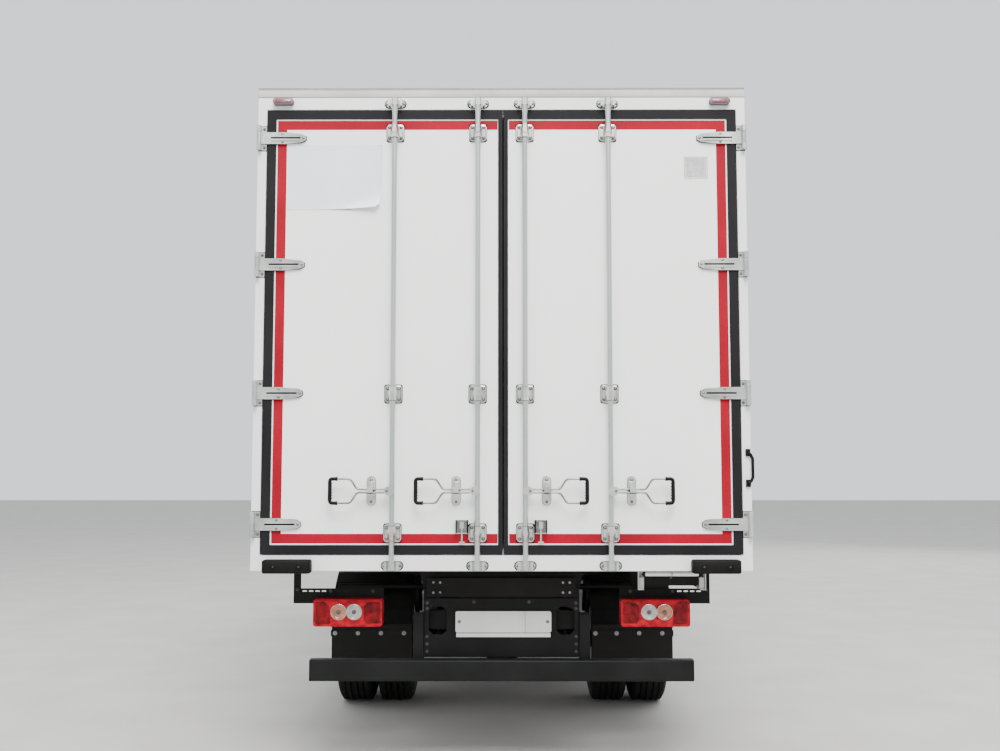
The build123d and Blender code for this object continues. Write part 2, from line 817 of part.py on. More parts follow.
def wheel_section(x, radius, sides, inscribed=True):
    """The outline of a wheel part at one X, as a many-sided section with a flat at the bottom."""
    with BuildSketch(Plane.YZ.offset(x)) as section:
        RegularPolygon(radius, sides, major_radius=inscribed, rotation=180 / sides)
    return section.sketch.face()


def ring_loft(x, out, outline, sides, inscribed=True):
    """Straight-sided sections through the (X, radius) points of an outline."""
    return [wheel_section(x + out * offset_x, radius, sides, inscribed) for offset_x, radius in outline]


def tyre_solid(x):
    """A tyre whose middle plane is at the given X, on the wheel axis through the origin."""
    bead = bead_width / 2
    bead_radius = rim_radius + 0.5
    outline = (
        (-bead, bead_radius + rim_flange),
        (-tyre_width / 2, bead_radius + 95),
        (-tread_width / 2 - 8, tyre_radius - 14),
        (-tread_width / 2, tyre_radius),
        (tread_width / 2, tyre_radius),
        (tread_width / 2 + 8, tyre_radius - 14),
        (tyre_width / 2, bead_radius + 95),
        (bead, bead_radius + rim_flange),
    )
    with BuildPart() as tyre:
        loft(ring_loft(x, 1, outline, tyre_side_count, False), ruled=True)
        bore = wheel_section(x - bead, bead_radius, tyre_side_count, False)
        extrude(bore, amount=2 * bead, mode=Mode.SUBTRACT)
    return tyre.part


def rim_solid(x, out, holes):
    """A rim whose middle plane is at the given X and whose disc stands out towards one side."""
    edge = rim_width / 2
    seat = bead_width / 2 + 0.5
    flange = rim_radius + rim_flange
    bore = rim_radius - rim_skin
    outer = (
        (-edge, flange),
        (-seat - 2, flange),
        (-seat, rim_radius),
        (seat, rim_radius),
        (seat + 2, flange),
        (edge, flange),
    )
    inner = ((-edge, flange - rim_skin), (-seat, bore), (seat, bore), (edge, flange - rim_skin))
    dish = rim_offset - disc_plate
    disc = ((rim_offset - 90, bore + 3), (rim_offset - 81, bore + 3), (rim_offset, disc_radius))
    hollow = ((rim_offset - 90, bore - disc_plate + 3), (dish, disc_radius - disc_plate))
    with BuildPart() as rim_disc:
        loft(ring_loft(x, out, disc, rim_side_count), ruled=True)
        loft(ring_loft(x, out, hollow, rim_side_count), ruled=True, mode=Mode.SUBTRACT)
        middle = wheel_section(x + out * (dish - 5), disc_bore, rim_side_count)
        extrude(middle, amount=out * 2 * disc_plate, mode=Mode.SUBTRACT)
        if holes:
            with BuildSketch(Plane.YZ.offset(x)):
                with PolarLocations((bore + disc_radius) / 2, hand_hole_count):
                    RegularPolygon((bore - disc_radius) / 2.6, 6)
            extrude(amount=out * rim_offset, mode=Mode.SUBTRACT)
    with BuildPart() as rim:
        loft(ring_loft(x, 1, outer, rim_side_count), ruled=True)
        loft(ring_loft(x, 1, inner, rim_side_count), ruled=True, mode=Mode.SUBTRACT)
        add(rim_disc.part)
    return rim.part


def hub_solid(steps, bore_x, bore_radius):
    """A hub built up from many-sided steps of X range and radii, bored for its spindle."""
    with BuildPart() as hub:
        for start_x, end_x, start_radius, end_radius in steps:
            step = ((start_x, start_radius), (end_x, end_radius))
            loft(ring_loft(0, 1, step, rim_side_count), ruled=True)
        low_x, high_x = bore_x
        with Locations(((low_x + high_x) / 2, 0, 0)):
            Cylinder(bore_radius, high_x - low_x, rotation=(0, 90, 0), mode=Mode.SUBTRACT)
    return hub.part


# Wheels. Hub steps: start X, end X, radius at the start, radius at the end
front_disc = front_wheel_x + rim_offset - disc_plate
rear_disc = rear_twin_x - disc_plate
front_drum = face_x + knuckle_plate + 12
rear_drum = backing_x + 10
spigot = disc_bore + 4
front_hub = (
    (front_drum, front_disc - 12, 90, 90),
    (front_disc - 12, front_disc, 160, 160),
    (front_disc, front_disc + 13, spigot, spigot),
    (front_disc + 13, front_disc + 27, spigot, 66),
)
rear_hub = (
    (rear_drum, rear_disc - 31, 196, 196),
    (rear_disc - 31, rear_disc, 160, 160),
    (rear_disc, rear_twin_x + 150, spigot, spigot),
    (rear_twin_x + 150, rear_twin_x + 200, spigot, 70),
)
front_bore = (front_drum - 1, stub_end + 6)
rear_bore = (rear_drum - 1, spindle_end + 6)
front_rims = ((front_wheel_x, 1),)
rear_rims = ((rear_inner_x, 1), (rear_twin_x + rim_offset, -1))
wheels = (
    ("front", front_axle_station, front_hub, front_bore, stub_radius, front_rims),
    ("rear", rear_axle_station, rear_hub, rear_bore, spindle_radius, rear_rims),
)

for end, axle_station, hub_steps, bore_x, spindle, rims in wheels:
    place = Location((0, at(axle_station), axle_z))
    tyre_parts = [tyre_solid(x) for x, out in rims]
    rim_parts = [rim_solid(x, out, x > rear_twin_x) for x, out in rims]
    hub_part = hub_solid(hub_steps, bore_x, spindle + bearing_clearance)
    for side, hand in ((-1, "left"), (1, "right")):
        with BuildPart() as tyres:
            add([tyre.moved(place) for tyre in tyre_parts])
        piece = tyres.part if side > 0 else tyres.part.mirror(Plane.YZ)
        piece.label = f"wheel_{end}_{hand}_tyre"
        export_step(piece, f"parts/wheel_{end}_{hand}_tyre.step")
        with BuildPart() as rim:
            add([piece.moved(place) for piece in rim_parts])
            add(hub_part.moved(place))
        piece = rim.part if side > 0 else rim.part.mirror(Plane.YZ)
        piece.label = f"wheel_{end}_{hand}_rim"
        export_step(piece, f"parts/wheel_{end}_{hand}_rim.step")

# Engine as one plain block, with the gearbox and the radiator
engine_half = 300.0
engine_z = (560.0, 1200.0)
engine_stations = (cab_back + 250, cab_back + 1080)
mount_z = (750.0, 800.0)
mount_depth = 90.0
shaft_height = 620.0
shaft_radius = 45.0
shaft_gap = 3.4
radiator_half = 340.0
radiator_z = (640.0, 1180.0)
radiator_stations = (cab_back + 1150, cab_back + 1230)

with BuildPart() as powertrain:
    block((-engine_half, engine_half), engine_stations, engine_z)
    for station in (engine_stations[0] + 200, engine_stations[1] - 130):
        block((-web_inner, web_inner), (station, station + mount_depth), mount_z)
    with BuildSketch(Plane.XZ.offset(-at(engine_stations[0]))):
        with Locations((0, shaft_height + 170)):
            RectangleRounded(420, 400, 60)
    with BuildSketch(Plane.XZ.offset(-at(gearbox_rear))):
        with Locations((0, shaft_height + 60)):
            RectangleRounded(240, 240, 60)
    loft()
    block((-radiator_half, radiator_half), radiator_stations, radiator_z)
    block((-web_inner, web_inner), (radiator_stations[0] + 20, radiator_stations[1] - 20), mount_z)

with BuildPart() as propeller_shaft:
    start = Vector(0, at(gearbox_rear) - shaft_gap, shaft_height)
    end = Vector(0, at(rear_axle_station + nose_length) + shaft_gap, axle_z)
    sided(Plane(origin=start, z_dir=end - start), shaft_radius, 12, (end - start).length)

# Tanks: the fuel tank on the right and two air reservoirs on the left
tank_width = 600.0
tank_height = 500.0
tank_corner = 90.0
tank_length = 1100.0
tank_front = cab_back - 1650.0
tank_gap = 50.0
tank_z = 650.0
reservoir_radius = 120.0
reservoir_length = 800.0
reservoir_x = half_rail + reservoir_radius + tank_gap
reservoir_station = tank_front - 700
tank_strap = 60.0

with BuildPart() as tanks:
    with BuildSketch(Plane.XZ.offset(-at(tank_front))):
        with Locations((half_rail + tank_gap + tank_width / 2, tank_z)):
            RectangleRounded(tank_width, tank_height, tank_corner)
    extrude(amount=tank_length)
    for station in (tank_front - tank_length + 200, tank_front - 300):
        block((half_rail, half_rail + tank_gap + tank_strap / 2), (station, station + tank_strap),
              (rail_bottom + bracket_edge, rail_top - 2 * bracket_edge))
    for height in (500.0, 770.0):
        tank_end = (-reservoir_x, at(reservoir_station - reservoir_length / 2), height)
        sided(Plane(origin=tank_end, z_dir=(0, 1, 0)), reservoir_radius, 16, reservoir_length)
    for station in (reservoir_station - 250, reservoir_station + 190):
        block((-half_rail - tank_strap, -half_rail), (station, station + tank_strap),
              (440, rail_top - 2 * bracket_edge))

# Battery box and silencer, side by side on the left rail
battery_width = 560.0
battery_stations = (cab_back - 1550, cab_back - 900)
battery_z = (470.0, 850.0)
silencer_radius = 150.0
silencer_x = (-1040.0, -half_rail - 60)
silencer_station = cab_back - 530.0
silencer_z = 690.0
outlet_radius = 45.0
outlet_bottom = 420.0

with BuildPart() as battery_box:
    block((-half_rail - battery_width, -half_rail), battery_stations, battery_z)
    fillet(battery_box.edges().filter_by(Axis.Y).group_by(Axis.X)[0], 40)

with BuildPart() as exhaust:
    sided_crosswise(silencer_x, silencer_station, silencer_z, silencer_radius, 16)
    block((silencer_x[1], -half_rail), (silencer_station - 70, silencer_station + 70),
          (rail_bottom + bracket_edge, rail_top - 2 * bracket_edge))
    sided_upright(silencer_x[0] + 80, silencer_station, (outlet_bottom, silencer_z - 130), outlet_radius, 12)

# Mudguards: axle station, inner X, outer X, inner radius, first angle, last angle, stay angles
guard_thickness = 8.0
guard_step = 13.0
stay_radius = 20.0
stay_sides = 8
guard_bite = 7.0
rear_guard_radius = tyre_radius + 75
front_guard_radius = tyre_radius + 69
guard_first = 16.0
guards = (
    (rear_axle_station, 600.0, 1145.0, rear_guard_radius, guard_first, 164.0, (50.0, 130.0)),
    (front_axle_station, 840.0, 1118.0, front_guard_radius, 100.0, 178.0, (138.0,)),
)

with BuildPart() as mudguards:
    for axle_station, inner_x, outer_x, radius, first, last, stays in guards:
        angles = spread(radians(first), radians(last), round((last - first) / guard_step) + 1)
        arc = [(cos(a), sin(a)) for a in angles]
        outer = radius + guard_thickness
        points = [(at(axle_station) + radius * c, axle_z + radius * s) for c, s in arc]
        points += [(at(axle_station) + outer * c, axle_z + outer * s) for c, s in reversed(arc)]
        with BuildSketch(Plane.YZ.offset(inner_x)):
            Polygon(*points, align=None)
        extrude(amount=outer_x - inner_x)
        for angle in stays:
            reach = outer + stay_radius * cos(pi / stay_sides) - guard_bite
            station = axle_station + reach * cos(radians(angle))
            height = axle_z + reach * sin(radians(angle))
            sided_crosswise((half_rail, outer_x - stay_radius), station, height, stay_radius, stay_sides)
    mirror(about=Plane.YZ)

# Mud flaps behind the rear wheels, each with its clamp bar
flap_x = (605.0, 1140.0)
flap_z = (240.0, 575.0)
flap_thickness = 8.0
clamp_z = (500.0, 540.0)
flap_front = rear_axle_station - rear_guard_radius * cos(radians(guard_first)) - guard_thickness
flap_rear = flap_front - flap_thickness

with BuildPart() as mud_flaps:
    block(flap_x, (flap_rear, flap_front), flap_z)
    block((flap_x[0] - 5, flap_x[1] + 5), (flap_rear - flap_thickness, flap_rear), clamp_z)
    mirror(about=Plane.YZ)

# Underrun bar and its uprights on the rail ends
bar_stations = (250.0, 330.0)
bar_z = (476.0, 589.0)
bar_half = half_box - 271
upright_width = 55.0
upright_depth = 110.0
upright_top = 820.0

with BuildPart() as underrun_bar:
    block((-bar_half, bar_half), bar_stations, bar_z)
    fillet(underrun_bar.edges().filter_by(Axis.X), 12)
    for side in (-1, 1):
        block(pair(side, half_rail, half_rail + upright_width),
              (bar_stations[1], bar_stations[1] + upright_depth), (bar_z[0] + 20, upright_top))

# Lamp brackets with slotted straps, and the cut-out panel behind the number plate
lamp_x = (half_box - 660, half_box - 290)
lamp_z = (766.0, 909.0)
lamp_stations = (240.0, 330.0)
lamp_corner = 14.0
bracket_plate = 6.0
bracket_x = (half_box - 208, half_box - 168)
strap_z = (lamp_z[1] - 30, lamp_z[1] + 51)
slot_count = 4
plate_centre = (10.0, 781.0)
plate_hole_spacing = 480.0
plate_hole_radius = 3.0
panel_half = half_rail - 5
panel_z = (590.0, 905.0)
cutout_x = 347.0
cutout_width = 98.0
cutout_height = 150.0

with BuildPart() as rear_brackets:
    strap_stations = (lamp_stations[1], lamp_stations[1] + bracket_plate)
    block((lamp_x[0], bracket_x[1]), strap_stations, strap_z)
    with BuildSketch(Plane.XZ.offset(-at(strap_stations[0]))):
        slots = spread(bracket_x[0] - 125, bracket_x[0] - 20, slot_count)
        with Locations(*[(x, strap_z[1] - 15) for x in slots]):
            Rectangle(24, 8)
    extrude(amount=-bracket_plate, mode=Mode.SUBTRACT)
    block(bracket_x, strap_stations, (strap_z[1] - 25, box_bottom))
    mirror(about=Plane.YZ)
    panel_stations = (rail_rear - bracket_plate, rail_rear)
    block((-panel_half, panel_half), panel_stations, panel_z)
    with BuildSketch(Plane.XZ.offset(-at(panel_stations[0]))):
        with Locations((-cutout_x, middle_z), (cutout_x, middle_z)):
            Rectangle(cutout_width, cutout_height)
        chamfer(vertices(), cutout_width / 4)
    extrude(amount=-bracket_plate, mode=Mode.SUBTRACT)
    for shift in (-plate_hole_spacing / 2, plate_hole_spacing / 2):
        with Locations((plate_centre[0] + shift, at(rail_rear - bracket_plate / 2), plate_centre[1])):
            Cylinder(plate_hole_radius, 2 * bracket_plate, rotation=(90, 0, 0), mode=Mode.SUBTRACT)

# Tail lamps on their straps, and marker lamps on the header
marker_x = half_box - 137
marker_z = opening_high + 40
marker_width = 110.0
marker_height = 34.0
marker_depth = 30.0

with BuildPart() as rear_lamps:
    with BuildSketch(Plane.XZ.offset(-at(lamp_stations[0]))):
        with Locations(((lamp_x[0] + lamp_x[1]) / 2, (lamp_z[0] + lamp_z[1]) / 2)):
            RectangleRounded(lamp_x[1] - lamp_x[0], lamp_z[1] - lamp_z[0], lamp_corner)
    extrude(amount=lamp_stations[0] - lamp_stations[1])
    with BuildSketch(Plane.XZ.offset(-at(0))):
        with Locations((marker_x, marker_z)):
            SlotOverall(marker_width, marker_height)
    extrude(amount=marker_depth)
    mirror(about=Plane.YZ)

# Pull-out step ladder: a top plate with two side channels, and the ladder that slides in them
carrier_x = (half_box - 578, half_box - 220)
carrier_z = (box_bottom - 110, box_bottom)
carrier_stations = (140.0, ladder_front)
carrier_plate = 5.0
channel_depth = 30.0
stile_width = 25.0
stile_height = 60.0
rung_count = 4
rung_depth = 40.0
rung_height = 30.0

with BuildPart() as step_ladder:
    block(carrier_x, carrier_stations, carrier_z)
    inside_z = (carrier_z[0] + carrier_plate, carrier_z[1] - carrier_plate)
    block((carrier_x[0] + carrier_plate, carrier_x[1] - carrier_plate), carrier_stations, inside_z,
          Mode.SUBTRACT)
    block((carrier_x[0] + channel_depth, carrier_x[1] - channel_depth), carrier_stations,
          (carrier_z[0], inside_z[1]), Mode.SUBTRACT)
    stile_z = (inside_z[0], inside_z[0] + stile_height)
    stile_stations = (carrier_stations[0] + 15, carrier_stations[1] - 20)
    stile_x = (carrier_x[0] + carrier_plate + 2, carrier_x[1] - carrier_plate - 2 - stile_width)
    for low in stile_x:
        block((low, low + stile_width), stile_stations, stile_z)
    for station in spread(stile_stations[0] + 60, stile_stations[1] - 60, rung_count):
        block((stile_x[0], stile_x[1] + stile_width), (station - rung_depth / 2, station + rung_depth / 2),
              (stile_z[0] + 15, stile_z[0] + 15 + rung_height))

# Side guards: two rails a side, on posts under the floor
guard_post_count = 5
guard_rail_x = (half_box - 129, half_box - 104)
guard_post_x = (half_box - 149, half_box - 129)
guard_stations = (rear_axle_station + 565, box_length - 200)
guard_heights = (430.0, 720.0)
guard_rail_height = 100.0
guard_post_depth = 50.0

with BuildPart() as side_guard_rails:
    for height in guard_heights:
        block(guard_rail_x, guard_stations, (height, height + guard_rail_height))
    mirror(about=Plane.YZ)

with BuildPart() as side_guard_posts:
    for station in spread(guard_stations[0] + 95, guard_stations[1] - 55, guard_post_count):
        block(guard_post_x, (station - guard_post_depth / 2, station + guard_post_depth / 2),
              (guard_heights[0], box_bottom))
    mirror(about=Plane.YZ)

# Cab outlines. Side: distance behind the front, and height. Front: distance from the middle, and height.
roof_fall = 30.0
brow_setback = 380.0
screen_top_setback = 270.0
screen_top_drop = 90.0
belt_setback = 68.0
belt_half = 90.0
tumblehome = 52.0
nose_half = 700.0
nose_setback = 125.0
side_outline = (
    (cab_length, cab_bottom),
    (cab_length, cab_top - roof_fall),
    (brow_setback, cab_top),
    (screen_top_setback, cab_top - screen_top_drop),
    (belt_setback, cab_belt + belt_half),
    (0.0, cab_belt - belt_half),
    (0.0, cab_bottom),
)
front_outline = (
    (-cab_half_width, cab_bottom),
    (-cab_half_width, cab_belt),
    (-cab_half_width + tumblehome, cab_top + 15),
    (cab_half_width - tumblehome, cab_top + 15),
    (cab_half_width, cab_belt),
    (cab_half_width, cab_bottom),
)
plan_outline = (
    (-cab_half_width, cab_length),
    (-cab_half_width, nose_setback),
    (-nose_half, -5.0),
    (nose_half, -5.0),
    (cab_half_width, nose_setback),
    (cab_half_width, cab_length),
)


def cab_form(inset):
    """The cab's outer form, drawn in by an inset, from its side, front and plan outlines."""
    side_points = [(at(cab_front - setback), z) for setback, z in side_outline]
    plan_points = [(x, at(cab_front - setback)) for x, setback in plan_outline]
    outlines = (
        (Plane.YZ, side_points, 90, Mode.ADD),
        (Plane.XZ, front_outline, 110, Mode.INTERSECT),
        (Plane.XY, plan_points, 120, Mode.INTERSECT),
    )
    with BuildPart() as form:
        for plane, points, radius, mode in outlines:
            with BuildSketch(plane):
                with BuildLine():
                    FilletPolyline(*points, radius=radius)
                    Line(points[-1], points[0])
                make_face()
                if inset:
                    offset(amount=-inset, kind=Kind.INTERSECTION, mode=Mode.REPLACE)
            extrude(amount=2 * box_length, both=True, mode=mode)
    return form.part


def side_prism(points, radius, gap, reach):
    """A prism across one side of the cab from an outline of stations and heights."""
    with BuildPart() as prism:
        with BuildSketch(Plane.YZ.offset(reach)):
            with BuildLine():
                FilletPolyline(*[(at(station), z) for station, z in points], radius=radius, close=True)
            make_face()
            if gap:
                offset(amount=gap, mode=Mode.REPLACE)
        extrude(amount=cab_half_width)
    return prism.part


def front_prism(points, radius, station_range):
    """A prism along the cab from an outline of X values and heights."""
    with BuildPart() as prism:
        with BuildSketch(Plane.XZ.offset(-at(station_range[0]))):
            with BuildLine():
                FilletPolyline(*points, radius=radius, close=True)
            make_face()
        extrude(amount=station_range[0] - station_range[1])
    return prism.part


def facing(half_low, half_high, low, high):
    """A four-sided outline, as wide as two halves at its lower and upper edge."""
    return ((-half_low, low), (half_low, low), (half_high, high), (-half_high, high))


door_back = cab_back + 580
door_front = cab_front - door_front_setback
door_low = cab_bottom + 100
door_high = cab_top - 170
door_kink = cab_belt + 110
door_corner = 60.0
window_margin = 100.0
window_low = cab_belt - 30
window_front = cab_front - 300
screen_low = cab_belt + 140
screen_high = cab_top - 190
door_outline = (
    (door_back, door_low),
    (door_front, door_low),
    (door_front, door_kink),
    (cab_front - brow_setback + 20, door_high),
    (door_back, door_high),
)
window_outline = (
    (door_back + window_margin, window_low),
    (window_front, window_low),
    (window_front, door_kink),
    (window_front - 130, door_high - window_margin),
    (door_back + window_margin, door_high - window_margin),
)
rear_window_half = 480.0
prism_start = cab_half_width / 2

outer_form = cab_form(0)
wall_form = cab_form(cab_wall)
trim_form = cab_form(cab_wall + cab_door_gap)
glass_outer = cab_form(glass_inset)
glass_inner = cab_form(glass_inset + glass_thickness)
door_prism = side_prism(door_outline, door_corner, 0, prism_start)
door_cut = side_prism(door_outline, door_corner, cab_door_gap, prism_start)
window_prism = side_prism(window_outline, door_corner, 0, prism_start)
screen_outline = facing(cab_half_width - 140, cab_half_width - 190, screen_low, screen_high)
rear_window_outline = facing(rear_window_half, rear_window_half, cab_belt + 200, cab_belt + 700)
screen_prism = front_prism(screen_outline, door_corner, (cab_front - 500, cab_front + 100))
rear_window_prism = front_prism(rear_window_outline, door_corner, (cab_back - 50, cab_back + 150))

with BuildPart() as door_ring:
    add(door_cut)
    add(trim_form, mode=Mode.SUBTRACT)

# Cab door hinges: a pin in a pocket of the front pillar and a knuckle on the door
door_axis_x = cab_half_width - door_hinge_inset
door_axis_station = door_front + door_hinge_lead

with BuildPart() as hinge_pockets:
    for z in door_hinge_heights:
        half = door_hinge_height / 2 + door_pocket_gap
        far_side = door_axis_station + door_knuckle_radius + door_pocket_gap
        near_side = door_axis_x - door_knuckle_radius - door_pocket_gap
        block((near_side, cab_half_width + door_hinge_inset), (door_front, far_side), (z - half, z + half))
        upright(door_axis_x, door_axis_station, (z - half, z + half), door_pin_radius, Mode.SUBTRACT)
    mirror(about=Plane.YZ)

# Cab shell: hollow above its floor, open below, with the engine tunnel, wheel arches and openings
under_floor = cab_floor - cab_floor_plate
hump_half = tunnel_half + tunnel_skin
tunnel_setback = 360.0
inside_stations = (cab_back + cab_wall, cab_front - cab_wall)

with BuildPart() as cab_cavity:
    add(wall_form)
    block((-cab_half_width, cab_half_width), (cab_back, cab_front), (under_floor, cab_floor), Mode.SUBTRACT)

with BuildPart() as cab_shell:
    add(outer_form)
    add(cab_cavity.part, mode=Mode.SUBTRACT)
    block((-cab_half_width + cab_wall, cab_half_width - cab_wall), inside_stations,
          (cab_bottom, cab_bottom + cab_wall + 1), Mode.SUBTRACT)
    block((-hump_half, hump_half), (cab_back + cab_wall, cab_front - tunnel_setback + tunnel_skin),
          (cab_floor, tunnel_top + tunnel_skin))
    block((-tunnel_half, tunnel_half), (cab_back, cab_front - tunnel_setback), (cab_bottom, tunnel_top),
          Mode.SUBTRACT)
    crosswise((-half_box, half_box), front_axle_station, axle_z, arch_radius, Mode.SUBTRACT)
    add(door_ring.part, mode=Mode.SUBTRACT)
    add(door_ring.part.mirror(Plane.YZ), mode=Mode.SUBTRACT)
    add(hinge_pockets.part, mode=Mode.SUBTRACT)
    add(screen_prism, mode=Mode.SUBTRACT)
    add(rear_window_prism, mode=Mode.SUBTRACT)
    block((-grille_half, grille_half), (cab_front - 100, cab_front + 10), (grille_low, grille_high),
          Mode.SUBTRACT)

with BuildPart() as window_openings:
    add(screen_prism)
    add(rear_window_prism)

with BuildPart() as cab_glass:
    add(glass_outer)
    add(glass_inner, mode=Mode.SUBTRACT)
    add(window_openings.part, mode=Mode.INTERSECT)

# Cab doors: skin, window opening, hinge knuckles and a pull handle
pull_z = (1470.0, 1500.0)
pull_stations = (door_back + 60, door_back + 220)
pull_proud = 26.0
pull_gap = 14.0
pull_foot = 22.0

for side, hand in ((-1, "left"), (1, "right")):
    with BuildPart() as cab_door:
        add(door_prism)
        add(outer_form, mode=Mode.INTERSECT)
        add(wall_form, mode=Mode.SUBTRACT)
        add(window_prism, mode=Mode.SUBTRACT)
        for z in door_hinge_heights:
            low, high = z - door_hinge_height / 2, z + door_hinge_height / 2
            arm_x = (door_axis_x - door_knuckle_radius, door_axis_x + door_knuckle_radius)
            block(arm_x, (door_front - 2 * cab_door_gap, door_axis_station), (low, high))
            sided_upright(door_axis_x, door_axis_station, (low, high), door_knuckle_radius, 10)
            bore = door_pin_radius + bearing_clearance
            upright(door_axis_x, door_axis_station, (low, high), bore, Mode.SUBTRACT)
        block((cab_half_width - pull_gap, cab_half_width + pull_proud), pull_stations, pull_z)
        block((cab_half_width, cab_half_width + pull_gap),
              (pull_stations[0] + pull_foot, pull_stations[1] - pull_foot), pull_z, Mode.SUBTRACT)
    piece = cab_door.part if side > 0 else cab_door.part.mirror(Plane.YZ)
    piece.label = f"cab_door_{hand}_panel"
    export_step(piece, f"parts/cab_door_{hand}_panel.step")
    with BuildPart() as door_glass:
        add(window_prism)
        add(glass_outer, mode=Mode.INTERSECT)
        add(glass_inner, mode=Mode.SUBTRACT)
    piece = door_glass.part if side > 0 else door_glass.part.mirror(Plane.YZ)
    piece.label = f"cab_door_{hand}_glass"
    export_step(piece, f"parts/cab_door_{hand}_glass.step")

# Grille: a frame with level bars
grille_pitch = (grille_high - grille_low - 20) / (grille_bar_count + 0.33)
grille_slot = grille_pitch * 0.66

with BuildPart() as grille:
    block((-grille_half, grille_half), (cab_front - 50, cab_front - 5), (grille_low, grille_high))
    for row in range(grille_bar_count):
        low = grille_low + 30 + row * grille_pitch
        block((-grille_half + 40, grille_half - 40), (cab_front - 60, cab_front), (low, low + grille_slot),
              Mode.SUBTRACT)

# Cab underframe: two members under the floor with arms down to the pivot tube
member_x = (455.0, 490.0)
member_height = 60.0
member_setback = 300.0
arm_lean = radians(40)
arm_width = 40.0
arm_reach = (under_floor - pivot_z) / cos(arm_lean) - 24
eye_wall = 20.0
arm_plane = Plane(
    origin=(member_x[0], at(pivot_station), pivot_z),
    x_dir=(0, -sin(arm_lean), cos(arm_lean)),
    z_dir=(1, 0, 0),
)

with BuildPart() as cab_underframe:
    block(member_x, (cab_back + cab_wall, cab_front - member_setback),
          (under_floor - member_height, under_floor))
    with BuildSketch(arm_plane):
        with Locations((arm_reach / 2, 0)):
            Rectangle(arm_reach, arm_width)
    extrude(amount=member_x[1] - member_x[0])
    sided_crosswise(member_x, pivot_station, pivot_z, pivot_radius + eye_wall, 12)
    crosswise(member_x, pivot_station, pivot_z, pivot_radius + bearing_clearance, Mode.SUBTRACT)
    mirror(about=Plane.YZ)

# Seats: two pads each, on a frame with a pedestal
seat_x = 765.0
seat_half = 250.0
seat_z = (1450.0, 1570.0)
seat_stations = (cab_back + 281, cab_back + 780)
backrest_half = 240.0
backrest_stations = (cab_back + 160, cab_back + 280)
backrest_top = 2180.0
pad_gap = 0.3
seat_frame = 20.0
pedestal_half = 150.0

with BuildPart() as seat_pads:
    for x in (-seat_x, seat_x):
        block((x - seat_half, x + seat_half), seat_stations, seat_z)
        block((x - backrest_half, x + backrest_half), backrest_stations, (seat_z[0], backrest_top))

# Cab interior: seat frames, the dashboard and the steering wheel
dash_z = (1380.0, 1640.0)
dash_setbacks = (350.0, 200.0, 90.0)
wheel_setback = 470.0
wheel_z = 1720.0
wheel_radius = 215.0
wheel_rim = 16.0
wheel_axis = (0, -0.5, 0.866)
column_length = 300.0
column_radius = 28.0
wheel_plane = Plane(origin=(-seat_x, at(cab_front - wheel_setback), wheel_z), z_dir=wheel_axis)

with BuildPart() as cab_interior:
    for x in (-seat_x, seat_x):
        frame_half = backrest_half - seat_frame
        base_z = seat_z[0] - pad_gap
        block((x - pedestal_half, x + pedestal_half), (seat_stations[0] + 50, seat_stations[1] - 80),
              (cab_floor, base_z))
        frame_x = (x - frame_half, x + frame_half)
        frame_back = backrest_stations[0] - seat_frame
        block(frame_x, (frame_back, seat_stations[1] - seat_frame), (base_z - seat_frame, base_z))
        block(frame_x, (frame_back, backrest_stations[0] - pad_gap), (base_z - seat_frame, backrest_top - 80))
    inside_half = cab_half_width - cab_wall
    block((-inside_half + cab_wall, inside_half - cab_wall),
          (cab_front - dash_setbacks[0], cab_front - dash_setbacks[1]), dash_z)
    block((-inside_half, inside_half), (cab_front - dash_setbacks[1], cab_front - dash_setbacks[2]), dash_z)
    with BuildSketch(wheel_plane.offset(-wheel_rim)):
        RegularPolygon(wheel_radius + wheel_rim, 20)
        RegularPolygon(wheel_radius - wheel_rim, 20, mode=Mode.SUBTRACT)
        RegularPolygon(wheel_radius / 3, 10)
        Rectangle(2 * wheel_radius, 3 * wheel_rim)
    extrude(amount=2 * wheel_rim)
    sided(wheel_plane.offset(-column_length), column_radius, 8, column_length)
    add(wall_form, mode=Mode.INTERSECT)

# Mirrors on arms from the windscreen pillars
mirror_arm_heights = (1960.0, 2380.0)
mirror_arm_radius = 14.0
mirror_arm_setback = 130.0
mirror_x = (cab_half_width + 60, cab_half_width + 225)
mirror_z = (1900.0, 2440.0)
mirror_half_depth = 45.0

with BuildPart() as mirrors:
    arm_station_y = cab_front - mirror_arm_setback
    for height in mirror_arm_heights:
        sided_crosswise((cab_half_width - 120, mirror_x[0] + 70), arm_station_y, height, mirror_arm_radius, 8)
    block(mirror_x, (arm_station_y - mirror_half_depth, arm_station_y + mirror_half_depth), mirror_z)
    chamfer(mirrors.edges().filter_by(Axis.Z).group_by(Axis.X)[-1], 22)
    add(outer_form, mode=Mode.SUBTRACT)
    mirror(about=Plane.YZ)

# Front bumper with the entry steps, and the headlamps that sit in it
bumper_side = 430.0
bumper_corner = 130.0
lamp_cut_x = (760.0, 1060.0)
lamp_cut_z = (560.0, 740.0)
lamp_cut_depth = 300.0
step_inner = 760.0
tread_inner = 930.0
step_stations = (front_axle_station + tyre_radius + 106, front_station - bumper_side + 60)
step_wall = 30.0
step_treads = ((bumper_top - 208, bumper_top), (bumper_bottom + 10, bumper_top - 248))
tie_depth = 60.0


def bumper_outline(inset, rear_setback):
    """Half-round plan points of the bumper, drawn in by an inset."""
    half = bumper_half - inset
    corner = bumper_corner + inset / 2
    return (
        (-half, at(front_station - rear_setback)),
        (-half, at(front_station - corner)),
        (-nose_half, at(front_station - inset)),
        (nose_half, at(front_station - inset)),
        (half, at(front_station - corner)),
        (half, at(front_station - rear_setback)),
    )


